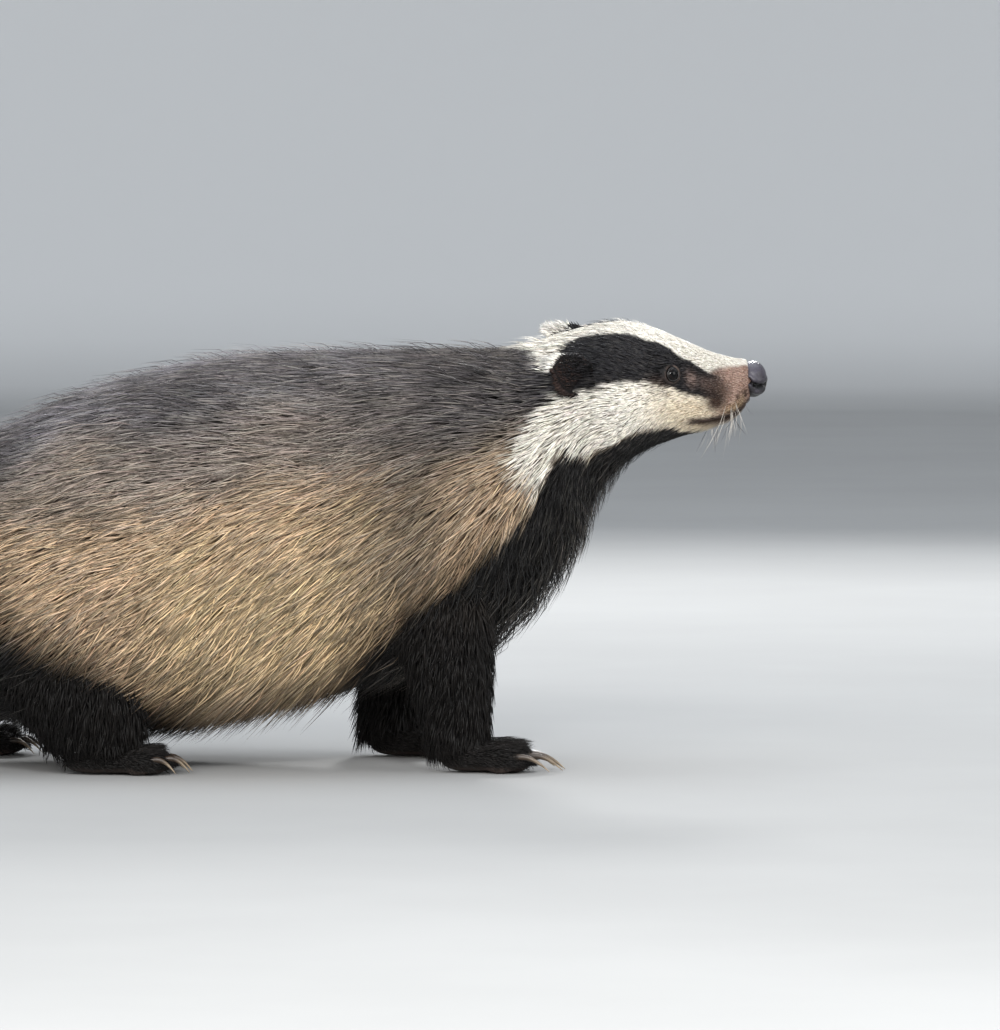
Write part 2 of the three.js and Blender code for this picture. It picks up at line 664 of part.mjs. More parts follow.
function nostril(side) {
  const [x, , z] = NOSE.centre;
  const rolled = (p) => p.applyAxisAngle(vec(1, 0, 0), HEAD_ROLL).add(vec(x, 0, z));
  const points = [vec(9, 5.2 * side, -2.2), vec(7, 8.6 * side, -3.6), vec(2.5, 12.2 * side, -7.2)];
  const reach = [2.6, 2.3, 1.1];
  return joined(points.map((p, i) => ball(rolled(p), vec(3.4, reach[i], reach[i]), 7, 5)));
}

// Mouth line: a wedge-shaped groove on each side, from under the nose back to the corner of the mouth.
function mouthAngle(u, side) {
  const share = (u - MOUTH.from) / (MOUTH.to - MOUTH.from);
  const height = mix(MOUTH.back, MOUTH.front, share ** 1.7);
  let [low, high] = [-90, 20];
  for (let i = 0; i < 24; i++) {
    const middle = (low + high) / 2;
    if (outlinePoint(u, mirrored(middle, 1)).applyAxisAngle(vec(1, 0, 0), 0).z < height) low = middle;
    else high = middle;
  }
  return mirrored(low, side);
}

function mouthGroove(side) {
  const steps = 8;
  const rings = Array.from({ length: steps + 1 }, (_, i) => {
    const u = mix(MOUTH.from, MOUTH.to, i / steps);
    const angle = mouthAngle(u, side);
    const [p, normal] = [outlinePoint(u, angle), outlineNormal(u, angle)];
    const gape = MOUTH.gape * (i === 0 ? 0.4 : 1);
    const up = vec(0, 0, 1).addScaledVector(normal, -normal.z).normalize();
    return [
      p.clone().addScaledVector(normal, 2).addScaledVector(up, gape),
      p.clone().addScaledVector(normal, 2).addScaledVector(up, -gape),
      p.clone().addScaledVector(normal, -MOUTH.depth),
    ];
  });
  return loft(rings);
}

// Finishes, as a coat of short or long hair, bare leather, horn and the wet eye.
const finish = (color, roughness) => new THREE.MeshStandardMaterial({ color, roughness, metalness: 0 });
const FINISHES = {
  coat: finish(0x9a8672, 0.9),
  neckCoat: finish(0x6e6660, 0.9),
  face: finish(0xe8e4da, 0.85),
  blackCoat: finish(0x17161a, 0.85),
  leather: finish(0x302d34, 0.45),
  horn: finish(0x6b5d4c, 0.5),
  eye: finish(0x120d0b, 0.06),
};

const badger = new THREE.Group();
const headGroup = new THREE.Group();
badger.add(headGroup);

// Names a solid, moves its geometry about its own anchor and hangs it in its group.
function addNode(name, solid, material, group = badger) {
  const { vertProperties, triVerts, numProp } = solid.getMesh();
  const geometry = new THREE.BufferGeometry();
  const positions = new Float32Array(vertProperties.length / numProp * 3);
  for (let i = 0; i * numProp < vertProperties.length; i++) {
    positions.set(vertProperties.subarray(i * numProp, i * numProp + 3), i * 3);
  }
  geometry.setAttribute('position', new THREE.BufferAttribute(positions, 3));
  geometry.setIndex(new THREE.BufferAttribute(triVerts, 1));
  geometry.computeBoundingBox();
  const anchor = geometry.boundingBox.getCenter(vec(0, 0, 0)).round();
  geometry.translate(-anchor.x, -anchor.y, -anchor.z);
  geometry.computeVertexNormals();
  const mesh = new THREE.Mesh(geometry, material);
  mesh.name = name;
  mesh.position.copy(anchor);
  group.add(mesh);
}

// Parts a solid of the trunk by a thin slab and gives back its two pieces, the one nearer the rump first.
function parted(whole, u) {
  const pieces = surfaces(whole.subtract(parting(u))).slice(0, 2);
  const middle = (piece) => {
    const box = piece.boundingBox();
    return box.min[0] + box.max[0];
  };
  return pieces.sort((a, b) => middle(a) - middle(b));
}

const SIDES = { right: -1, left: 1 };

function buildBadger() {
  const body = trunkSpan(0.3, HEAD_FROM + 0.5, 0.95, ROUND_BODY);
  const [coated] = parted(joined([body, ...trunkLocks()]), HEAD_FROM);
  let [torso, neck] = parted(coated, NECK_FROM);
  let [, head] = parted(trunkSpan(HEAD_FROM - 0.5, LAST - 0.1, 0.46, ROUND_HEAD), HEAD_FROM);
  const tail = tailSolid();
  torso = torso.subtract(tailForm(() => -GAP));
  for (const [name, leg] of Object.entries(LEGS)) {
    torso = torso.subtract(legSolid(leg, GAP));
    const whole = joined([legSolid(leg), pawSolid(leg)]);
    const toes = toesOf(leg);
    const flat = new THREE.Matrix4().makeTranslation(0, 0, ANKLE);
    const cut = standing(whole)
      .subtract(joined(toes.map((toe) => clawSolid(leg, toe, GAP))))
      .subtract(solidOf(new THREE.BoxGeometry(1200, 600, GAP), flat));
    const pieces = surfaces(cut).slice(0, 2);
    const [lower, upper] = pieces.sort((a, b) => a.boundingBox().min[2] - b.boundingBox().min[2]);
    addNode(name, upper, FINISHES.blackCoat);
    addNode(name.replace('leg', 'paw'), lower, FINISHES.blackCoat);
    toes.forEach((toe, k) => {
      addNode(`${name.replace('leg', 'claw')}_${k + 1}`, clawSolid(leg, toe), FINISHES.horn);
    });
  }
  addNode('torso', largest(torso), FINISHES.coat);
  addNode('tail', tail, FINISHES.coat);

  head = joined([head, lids(1), lids(-1)]);
  for (const [name, side] of Object.entries(SIDES)) {
    head = head.subtract(eyeBall(side, GAP)).subtract(mouthGroove(side)).subtract(earSolid(side, GAP));
    neck = neck.subtract(earSolid(side, GAP));
    addNode(`eye_${name}`, eyeBall(side), FINISHES.eye, headGroup);
    addNode(`ear_${name}`, earSolid(side), FINISHES.blackCoat, headGroup);
  }
  head = head.subtract(noseBall(GAP));
  const nose = noseBall().subtract(joined([nostril(1), nostril(-1)]));
  addNode('neck', largest(neck), FINISHES.neckCoat);
  addNode('head', largest(head), FINISHES.face, headGroup);
  addNode('nose', largest(nose), FINISHES.leather, headGroup);
}

buildBadger();

export default badger;
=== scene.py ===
"""A life-size European badger with its long grizzled coat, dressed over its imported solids.

Shapes are worked out in millimetres: +X is the way the badger faces, +Y its left, +Z up, the floor is z = 0.
They become metres when they are put into a mesh.
"""

import math

import bpy
import numpy as np
from mathutils import Matrix


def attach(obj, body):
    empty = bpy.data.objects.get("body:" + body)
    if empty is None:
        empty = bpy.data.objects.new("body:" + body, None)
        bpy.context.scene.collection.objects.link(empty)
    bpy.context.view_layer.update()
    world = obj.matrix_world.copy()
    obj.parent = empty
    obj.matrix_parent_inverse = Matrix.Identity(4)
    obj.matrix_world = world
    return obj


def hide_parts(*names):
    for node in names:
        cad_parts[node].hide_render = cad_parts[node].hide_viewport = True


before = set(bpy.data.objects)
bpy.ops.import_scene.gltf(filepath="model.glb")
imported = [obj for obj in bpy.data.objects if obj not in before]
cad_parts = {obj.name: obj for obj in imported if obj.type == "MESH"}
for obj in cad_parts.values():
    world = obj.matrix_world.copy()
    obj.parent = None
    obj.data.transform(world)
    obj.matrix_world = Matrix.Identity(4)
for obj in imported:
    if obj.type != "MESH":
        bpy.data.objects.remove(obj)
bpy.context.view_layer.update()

HEAD_ROLL = math.radians(9)
SECTION_POWER = 2.25
# How much of the coat's depth lies over the skin, on the body and on the head.
BODY_SHARE, HEAD_SHARE = 0.5, 0.85

# Sections of the trunk from the rump to the nose: name, top x and z, bottom x and z, half width,
# level of the widest place as a share of the section, depth of the coat.
SECTIONS = [
    ("rump end", -283, 150, -283, 112, 12, 0.50, 20),
    ("rump", -274, 184, -272, 82, 62, 0.48, 19),
    ("tail root", -257, 208, -254, 60, 93, 0.46, 18),
    ("hip", -233, 228, -229, 47, 113, 0.44, 17),
    ("thigh", -197, 243, -193, 40, 127, 0.42, 16),
    ("loin", -154, 263, -151, 32, 134, 0.40, 16),
    ("belly", -104, 280, -97, 30, 136, 0.40, 16),
    ("ribs", -47, 293, -40, 34, 131, 0.41, 16),
    ("withers", 17, 298, 24, 50, 120, 0.42, 15),
    ("shoulder", 81, 299, 89, 68, 107, 0.44, 14),
    ("chest", 124, 300, 149, 93, 94, 0.45, 13),
    ("neck base", 156, 300, 185, 121, 82, 0.46, 12),
    ("neck", 181, 304, 211, 157, 71, 0.46, 10),
    ("nape", 203, 312, 230, 191, 63, 0.48, 7),
    ("cheek", 226, 318, 247, 214, 60, 0.46, 5),
    ("crown", 249, 320, 267, 227, 54, 0.45, 4),
    ("eyes", 271, 315, 283, 233, 42, 0.47, 3),
    ("muzzle root", 292, 306, 298, 238, 31, 0.46, 2),
    ("muzzle", 311, 298, 313, 243, 25, 0.45, 2),
    ("lips", 328, 293, 326, 249, 21.5, 0.46, 1.5),
    ("nose root", 338, 291, 336, 257, 16, 0.50, 1.5),
    ("snout end", 345, 279, 344, 271, 4, 0.50, 1.5),
]
FIELDS = np.array([row[1:] for row in SECTIONS], float).T
LAST = len(SECTIONS) - 1

# Swellings of the trunk: name, place along it, angle up its side, reach along, reach round, height.
SWELLINGS = [
    ("thigh", 4.3, -12, 1.3, 38, 6.0),
    ("shoulder", 9.6, -4, 1.1, 40, 6.0),
    ("flank hollow", 7.6, -8, 0.9, 45, -4.0),
    ("cheek", 14.2, -8, 0.9, 32, 4.0),
    ("brow", 16.1, 42, 0.5, 18, 2.2),
    ("hollow before the eye", 17.2, 25, 0.5, 22, -2.0),
    ("upper lip", 19.1, -12, 0.8, 28, 1.6),
]

EYE = dict(u=16.46, angle=22, radius=6.4, sink=4.2, long=5.1, high=5.2)
EAR = dict(u=13.57, angle=18, length=35, width=38, cup=9, wall=3.4, root=10)
NOSE = dict(centre=(341.6, 0.0, 277.3), reach=10.2, half=13.4, up=12.7, down=13.3, clear=(10.2, 13.0, 12.6))
# The nostril's line on the left of the nose pad: x, y and z from its centre, and the slit's reach there.
NOSTRIL = [(8.6, 4.8, -3.6, 2.6), (7.2, 7.8, -4.4, 2.6), (4.6, 10.2, -3.8, 2.1), (1.2, 11.8, -1.8, 1.5),
           (-3.4, 12.6, 1.6, 1.0)]
MOUTH = dict(first=17.45, last=20.35, back=250, front=262)
TAIL = dict(root=(-262, 0, 176), bend=(-312, 0, 142), tip=(-345, 0, 52), radius=30, coat=9.0)
# Depths of the hair on legs and paws, and the size and the turns of the weld that joins them.
LEG_COAT, PAW_COAT, WELD_SIZE, WELD_TURNS = 5.0, 2.2, 2.5, 4

# Each leg: its side, its sections from the body down (x, y, z, reach along, reach across), and its paw.
LEGS = {
    "foreleg_right": (-1, [(112, 60, 132, 40, 26), (118, 66, 104, 39, 27), (124, 69, 76, 33, 25),
                           (128, 70, 48, 28, 22), (131, 70, 22, 24, 20), (134, 70, 8, 22, 20)],
                      dict(heel=(118, 70), length=66, half=24, height=25, claw=22)),
    "foreleg_left": (1, [(110, 60, 132, 40, 26), (104, 66, 104, 38, 27), (94, 69, 76, 32, 25),
                         (84, 70, 48, 27, 22), (80, 70, 22, 24, 20), (82, 70, 8, 22, 20)],
                     dict(heel=(66, 70), length=66, half=24, height=25, claw=22)),
    "hindleg_right": (-1, [(-166, 80, 104, 52, 30), (-150, 88, 74, 51, 31), (-136, 90, 48, 47, 28),
                           (-128, 89, 28, 38, 24), (-122, 88, 16, 30, 21), (-120, 88, 8, 28, 20)],
                      dict(heel=(-150, 88), length=78, half=22, height=23, claw=13)),
    "hindleg_left": (1, [(-206, 80, 104, 46, 30), (-214, 88, 74, 43, 30), (-226, 90, 48, 36, 27),
                         (-236, 89, 28, 30, 23), (-236, 88, 16, 27, 21), (-234, 88, 8, 26, 20)],
                     dict(heel=(-264, 88), length=78, half=22, height=23, claw=13)),
}
TOES = 5


def smooth(x, low, high):
    """0 below low, 1 above high, and 3 t^2 - 2 t^3 between them."""
    t = np.clip((np.asarray(x, float) - low) / (high - low), 0, 1)
    return t * t * (3 - 2 * t)


def mix(a, b, t):
    """a plus the share t of the way to b."""
    return a + (b - a) * t
def bell(x, middle, reach):
    """1 at the middle, and e to the minus square of the distance from it, counted in reaches."""
    return np.exp(-(((x - middle) / reach) ** 2))


def band(x, first, full, leave, last):
    """0 up to first, 1 from full to leave and 0 from last on, by smooth steps."""
    return smooth(x, first, full) * (1 - smooth(x, leave, last))

def along(values, u):
    """Catmull-Rom: a cubic through the values, one at each whole u, with straight ends."""
    v = np.asarray(values, float)
    v = np.concatenate(([2 * v[0] - v[1]], v, [2 * v[-1] - v[-2]]))
    i = np.clip(np.floor(u).astype(int), 0, len(v) - 4)
    t = u - i
    a, b, c, d = v[i], v[i + 1], v[i + 2], v[i + 3]
    return 0.5 * (2 * b + (c - a) * t + (2 * a - 5 * b + 4 * c - d) * t**2 + (3 * b - a - 3 * c + d) * t**3)


def unit(vectors):
    """Each vector divided by its length."""
    return vectors / np.maximum(np.linalg.norm(vectors, axis=-1, keepdims=True), 1e-9)


def dot(a, b):
    """The sum of a times b over the last axis, kept as one column."""
    return np.sum(a * b, axis=-1, keepdims=True)


def scattered(ix, iy, iz, seed):
    """A number from 0 to 1 for each whole lattice place, by multiplying and folding its three indices."""
    n = (ix * 73856093) ^ (iy * 19349663) ^ (iz * 83492791) ^ (seed * 2654435761)
    n = (n ^ (n >> 13)) * 1274126177 & 0xFFFFFFFF
    n = (n ^ (n >> 15)) * 2246822519 & 0xFFFFFFFF
    return ((n ^ (n >> 13)) & 0xFFFFFF) / 0xFFFFFF


def noise(points, size, seed):
    """Smooth noise from -1 to 1: lattice numbers of the given size, mixed by 3 t^2 - 2 t^3 along each axis."""
    p = points / size
    low = np.floor(p).astype(np.int64)
    t = p - low
    t = t * t * (3 - 2 * t)
    total = 0
    for corner in range(8):
        bits = [(corner >> k) & 1 for k in range(3)]
        weight = np.prod([t[..., k] if bit else 1 - t[..., k] for k, bit in enumerate(bits)], axis=0)
        total = total + weight * scattered(*[low[..., k] + bit for k, bit in enumerate(bits)], seed)
    return 2 * total - 1


def side_angle(angle):
    """Degrees above the widest line of a section on either side: 90 on the back, -90 under the belly."""
    return np.degrees(np.arctan2(np.sin(angle), np.abs(np.cos(angle))))


def facing(degrees, side):
    """The angle round the trunk for a side angle on the left (1) or the right (-1)."""
    return math.radians(degrees if side > 0 else 180 - degrees)


def outline(u, angle, rolled=True):
    """The outline of the coat: a superellipse between the top and bottom points of section u, raised by the
    swellings and turned about the X axis by the head's roll."""
    u, angle = np.broadcast_arrays(np.asarray(u, float), np.asarray(angle, float))
    top_x, top_z, low_x, low_z, half, level, _ = [along(f, u) for f in FIELDS]
    mid_x, mid_z = mix(low_x, top_x, level), mix(low_z, top_z, level)
    sin, cos = np.sin(angle), np.cos(angle)
    rise = np.abs(sin) ** (2 / SECTION_POWER)
    x = np.where(sin >= 0, top_x - mid_x, low_x - mid_x) * rise
    z = np.where(sin >= 0, top_z - mid_z, low_z - mid_z) * rise
    y = np.sign(cos) * np.abs(cos) ** (2 / SECTION_POWER) * half
    side = side_angle(angle)
    swell = [h * np.exp(-(((u - at) / ru) ** 2) - ((side - a) / ra) ** 2) for _, at, a, ru, ra, h in SWELLINGS]
    height = sum(swell)
    grow = 1 + height / np.maximum(np.sqrt(x * x + y * y + z * z), 1e-6)
    x, y, z = x * grow, y * grow, z * grow
    roll = HEAD_ROLL * smooth(u, 11, 14) * rolled
    y, z = y * np.cos(roll) - z * np.sin(roll), y * np.sin(roll) + z * np.cos(roll)
    return np.stack([x + mid_x, y, z + mid_z], -1)


def with_head(points, roll):
    """Points turned about the X axis by a roll."""
    x, y, z = np.moveaxis(points, -1, 0)
    c, s = math.cos(roll), math.sin(roll)
    return np.stack([x, y * c - z * s, y * s + z * c], -1)


def outline_normal(u, angle):
    """Outwards: the cross product of small steps round and along the outline."""
    at = np.clip(u, 0.08, LAST - 0.08)
    forward = outline(at + 0.04, angle) - outline(at - 0.04, angle)
    around = outline(at, angle + 0.04) - outline(at, angle - 0.04)
    return -unit(np.cross(forward, around))


def skin_depth(u):
    """How deep the skin lies below the outline: half of the coat on the body, nearly all of it on the head."""
    return along(FIELDS[6], u) * mix(BODY_SHARE, HEAD_SHARE, smooth(u, 11.5, 13.5))


def skin(u, angle, lift=0.0):
    """The bare form under the coat, raised by lift along the outline's normal."""
    depth = skin_depth(np.asarray(u, float))
    return outline(u, angle) + outline_normal(u, angle) * np.expand_dims(lift - depth, -1)


def eye_frame(side):
    """The middle of the eyeball and its outward, forward and upward directions."""
    angle = facing(EYE["angle"], side)
    out = outline_normal(np.array(EYE["u"]), np.array(angle))
    ahead = outline(EYE["u"] + 0.1, angle) - outline(EYE["u"] - 0.1, angle)
    ahead = unit(ahead - dot(ahead, out) * out)
    up = np.cross(out, ahead) * side
    return outline(EYE["u"], angle) - EYE["sink"] * out, out, ahead, up


def eye_view(side, points):
    """The points seen from the eye: ahead, up and outwards of its middle, and their distance from its axis as a
    share of the almond between the lids."""
    centre, out, ahead, up = eye_frame(side)
    away = points - centre
    x, y = away @ ahead, away @ up
    return x, y, away @ out, np.sqrt((x / EYE["long"]) ** 2 + (y / EYE["high"]) ** 2)


def mouth_height(u):
    """Height of the mouth line before the head's roll: it climbs towards the nose by the power 1.7."""
    share = np.clip((u - MOUTH["first"]) / (MOUTH["last"] - MOUTH["first"]), 0, 1)
    return mix(MOUTH["back"], MOUTH["front"], share**1.7)


def head_detail(u, angle, points):
    """Heights added to the head's skin: a pit and a raised almond rim round each eye, folds before and behind
    it, and the mouth line as a groove between two lips. Each is a bell, or a product of two."""
    height = np.zeros(points.shape[:-1])
    for side in (-1, 1):
        x, y, z, _ = eye_view(side, points)
        near = (z > -4) & (np.abs(x) < 24) & (np.abs(y) < 24)
        almond = np.sqrt((x / EYE["long"]) ** 2 + ((y + 0.1 * x) / (EYE["high"] - 0.05 * x)) ** 2)
        rim = 2.3 * bell(almond, 1.2, 0.34) - 4.5 * (1 - smooth(almond, 0.84, 1.02))
        brow = 1.1 * bell(y, 9, 2.6) * bell(x, 1, 10)
        corner = -0.9 * bell(y + 0.3 * (x - 8), -2.2, 1.1) * bell(x, 10.5, 4)
        bags = -0.5 * bell(y, -7.2, 0.9) * bell(x, 0, 7) - 0.4 * bell(x, -9.5, 0.9) * bell(y, 0, 6)
        height += np.where(near, rim + brow + corner + bags, 0)
    drop = outline(u, angle, rolled=False)[..., 2] - mouth_height(u)
    inside = band(u, MOUTH["first"] - 0.5, MOUTH["first"] + 0.1, 20.45, 20.7)
    lips = 0.8 * bell(drop, 2.6, 1.7) + 0.7 * bell(drop, -2.4, 1.6)
    height += inside * (lips - 2.2 * bell(drop, 0, 0.85)) * (side_angle(angle) > -88)
    return height


def tube(rings):
    """Rings of points joined in turn into triangles and closed by a point at each end, with faces outwards."""
    rows, count = rings.shape[:2]
    ends = rings[[0, -1]].mean(axis=1)
    verts = np.concatenate([rings.reshape(-1, 3), ends])
    r, k = np.meshgrid(np.arange(rows - 1), np.arange(count), indexing="ij")
    a, b = r * count + k, r * count + (k + 1) % count
    c, d = a + count, b + count
    tris = [np.stack([a, b, d], -1).reshape(-1, 3), np.stack([a, d, c], -1).reshape(-1, 3)]
    k = np.arange(count)
    top = (rows - 1) * count
    tris.append(np.stack([(k + 1) % count, k, np.full(count, rows * count)], -1))
    tris.append(np.stack([top + k, top + (k + 1) % count, np.full(count, rows * count + 1)], -1))
    return outwards(verts, np.concatenate(tris))


def outwards(verts, tris):
    """The same closed surface, turned round if the sum of its corner determinants is negative."""
    a, b, c = verts[tris[:, 0]], verts[tris[:, 1]], verts[tris[:, 2]]
    return (verts, tris) if np.sum(a * np.cross(b, c)) > 0 else (verts, tris[:, ::-1])


def merged(parts):
    """Several closed surfaces as one list of corners and triangles."""
    start = np.cumsum([0] + [len(v) for v, _ in parts[:-1]])
    return np.concatenate([v for v, _ in parts]), np.concatenate([t + s for (_, t), s in zip(parts, start)])


def mesh_piece(name, verts, tris, finish, smooth_faces=True):
    """A mesh object at the origin from corners in millimetres and triangles."""
    mesh = bpy.data.meshes.new(name)
    mesh.vertices.add(len(verts))
    mesh.vertices.foreach_set("co", (np.asarray(verts, np.float32) / 1000).ravel())
    mesh.loops.add(3 * len(tris))
    mesh.loops.foreach_set("vertex_index", np.asarray(tris, np.int32).ravel())
    mesh.polygons.add(len(tris))
    mesh.polygons.foreach_set("loop_start", np.arange(0, 3 * len(tris), 3, dtype=np.int32))
    mesh.polygons.foreach_set("use_smooth", np.full(len(tris), smooth_faces))
    mesh.update(calc_edges=True)
    mesh.validate()
    mesh.materials.append(finish)
    piece = bpy.data.objects.new(name, mesh)
    bpy.context.scene.collection.objects.link(piece)
    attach(piece, "root")
    return piece


def give_tone(piece, colours):
    """Stores a linear colour at each corner of the mesh as the attribute tone."""
    layer = piece.data.attributes.new("tone", "FLOAT_COLOR", "POINT")
    full = np.ones((len(colours), 4), np.float32)
    full[:, :3] = colours
    layer.data.foreach_set("color", full.ravel())


def linear(*values):
    """Screen values from 0 to 255 as linear light: ((v + 0.055) / 1.055) ^ 2.4."""
    v = np.asarray(values, float) / 255
    return np.where(v > 0.04045, ((v + 0.055) / 1.055) ** 2.4, v / 12.92)


class Field:
    """A value that changes over a surface. Arithmetic on it adds Math nodes."""

    def __init__(self, finish, socket):
        self.finish, self.socket = finish, socket

    def __add__(self, other):
        return self.finish.node("ShaderNodeMath", {"operation": "ADD"}, {0: self, 1: other})

    def __mul__(self, other):
        return self.finish.node("ShaderNodeMath", {"operation": "MULTIPLY"}, {0: self, 1: other})

    __radd__ = __add__
    __rmul__ = __mul__

    def ramp(self, low, high, first=0.0, last=1.0):
        """The value's place between low and high, as a smooth step from first to last."""
        sockets = {"Value": self, 1: low, 2: high, 3: first, 4: last}
        return self.finish.node("ShaderNodeMapRange", {"interpolation_type": "SMOOTHSTEP"}, sockets)


class Finish:
    """A procedural material: fixed numbers go on the shader itself, and fields are linked to its sockets."""

    def __init__(self, name, **fixed):
        self.material = bpy.data.materials.new(name)
        self.material.use_nodes = True
        self.tree = self.material.node_tree
        self.shader = self.tree.nodes["Principled BSDF"]
        for key, value in fixed.items():
            self.shader.inputs[key.replace("_", " ")].default_value = value

    def node(self, kind, settings=None, sockets=None, out=0):
        """A node with its settings, then its sockets' values or links, as the field that it gives."""
        node = self.tree.nodes.new(kind)
        for key, value in (settings or {}).items():
            setattr(node, key, value)
        for key, value in (sockets or {}).items():
            self.feed(node.inputs[key], value)
        return Field(self, node.outputs[out])

    def feed(self, socket, value):
        """Links a field to a socket, or sets the socket's own number or colour."""
        if isinstance(value, Field):
            self.tree.links.new(value.socket, socket)
        elif socket.type == "RGBA" and len(value) == 3:
            socket.default_value = (*value, 1)
        else:
            socket.default_value = value

    def blend(self, share, a, b, how="MIX"):
        """Colour b over colour a by its share."""
        settings = {"data_type": "RGBA", "blend_type": how}
        return self.node("ShaderNodeMix", settings, {0: share, 6: a, 7: b}, out=2)

    def tone(self):
        """The piece's own colour, from its corners."""
        return self.node("ShaderNodeAttribute", {"attribute_name": "tone"})

    def dimmed(self, tone, *screen):
        """A colour multiplied by another, given as screen values."""
        return self.blend(1.0, tone, linear(*screen), "MULTIPLY")

    def place(self):
        """Object coordinates."""
        return self.node("ShaderNodeTexCoord", out=3)

    def grain(self, scale, detail):
        """Soft noise, scale times to the metre."""
        sockets = {"Vector": self.place(), "Scale": scale, "Detail": detail, "Roughness": 0.6}
        return self.node("ShaderNodeTexNoise", {}, sockets)

    def bump(self, height, strength, distance):
        """Raises the surface's normal by a height, up to a distance in metres."""
        sockets = {"Height": height, "Strength": strength, "Distance": distance}
        self.give(Normal=self.node("ShaderNodeBump", {}, sockets))

    def give(self, **fields):
        """Feeds fields to the shader's sockets of those names."""
        for key, value in fields.items():
            self.feed(self.shader.inputs[key.replace("_", " ")], value)


def coat_finish():
    """Each tuft's own tone, a little lighter and darker along the strands, with a soft sheen."""
    coat = Finish("badger coat", Roughness=0.62, IOR=1.5, Specular_IOR_Level=0.28)
    tone, fleck = coat.tone(), coat.grain(420, 2.0)
    coat.give(Base_Color=coat.blend(fleck.ramp(0.3, 0.7) * 0.35, tone, coat.dimmed(tone, 190, 184, 178)))
    coat.give(Roughness=fleck.ramp(0.3, 0.7, 0.55, 0.7))
    return coat.material


def skin_finish():
    """The marking's own tone with painted shade between the short hairs: dimmed where the bump of fine strands is
    low.
    """
    hide = Finish("badger skin", Roughness=0.7, Specular_IOR_Level=0.25)
    tone, fine = hide.tone(), hide.grain(900, 3.0)
    # Painted shade: the tone is dimmed where the fine noise is low, which is where the bump sinks between strands.
    hide.give(Base_Color=hide.blend(fine.ramp(0.35, 0.65), hide.dimmed(tone, 170, 165, 160), tone))
    hide.bump(fine, 0.5, 0.0006)
    return hide.material


def leather_finish():
    """Damp dark leather: small pebbles parted by fine creases, with painted shade that darkens the creases, so the
    pebbles' tops look greyer.
    """
    leather = Finish("nose leather", Roughness=0.42, Coat_Weight=0.1, Coat_Roughness=0.3)
    tone, patches = leather.tone(), leather.grain(160, 3.0)
    cells = {"Vector": leather.place(), "Scale": 760}
    tops = leather.node("ShaderNodeTexVoronoi", {"feature": "DISTANCE_TO_EDGE"}, cells).ramp(0.02, 0.3)
    base = leather.blend(patches.ramp(0.35, 0.7) * 0.6, tone, leather.dimmed(tone, 176, 170, 172))
    # Painted shade: the tone is dimmed towards the creases, where the bump sinks between the pebbles.
    leather.give(Base_Color=leather.blend(tops * 0.45 + 0.55, leather.dimmed(tone, 120, 112, 116), base))
    leather.give(Roughness=patches.ramp(0.3, 0.7, 0.3, 0.46))
    leather.bump(tops + patches * 0.3, 0.4, 0.00022)
    return leather.material


def eye_finish():
    """A wet near-black eye: its own tone, which holds the pupil and the iris, with darker rays."""
    eye = Finish("wet eye", Roughness=0.04, IOR=1.24, Coat_Weight=0.15, Coat_Roughness=0.02)
    tone, rays = eye.tone(), eye.grain(1500, 2.0)
    eye.give(Base_Color=eye.blend(rays.ramp(0.35, 0.7) * 0.5, tone, eye.dimmed(tone, 120, 110, 105)))
    return eye.material


def horn_finish():
    """Claw horn: brown at the root, paler and worn at the tip, streaked along its length."""
    horn = Finish("claw horn", Roughness=0.42)
    tone, streaks = horn.tone(), horn.grain(260, 4.0)
    horn.give(Base_Color=horn.blend(streaks.ramp(0.35, 0.65) * 0.5, tone, horn.dimmed(tone, 150, 138, 122)))
    horn.give(Roughness=streaks.ramp(0.3, 0.7, 0.34, 0.52))
    horn.bump(streaks, 0.3, 0.0003)
    return horn.material


def rim_finish():
    """Bare dark skin of the lids, slightly moist, with painted shade in its wrinkles."""
    rim = Finish("lid skin", Roughness=0.35)
    wrinkles = rim.grain(1100, 3.0)
    # Painted shade: darker where the wrinkles sink, as the bump from the same noise does.
    rim.give(Base_Color=rim.blend(wrinkles.ramp(0.3, 0.7), linear(11, 9, 9), linear(28, 22, 21)))
    rim.bump(wrinkles, 0.4, 0.0003)
    return rim.material
COAT, SKIN, LEATHER = coat_finish(), skin_finish(), leather_finish()
EYES, HORN, RIM = eye_finish(), horn_finish(), rim_finish()

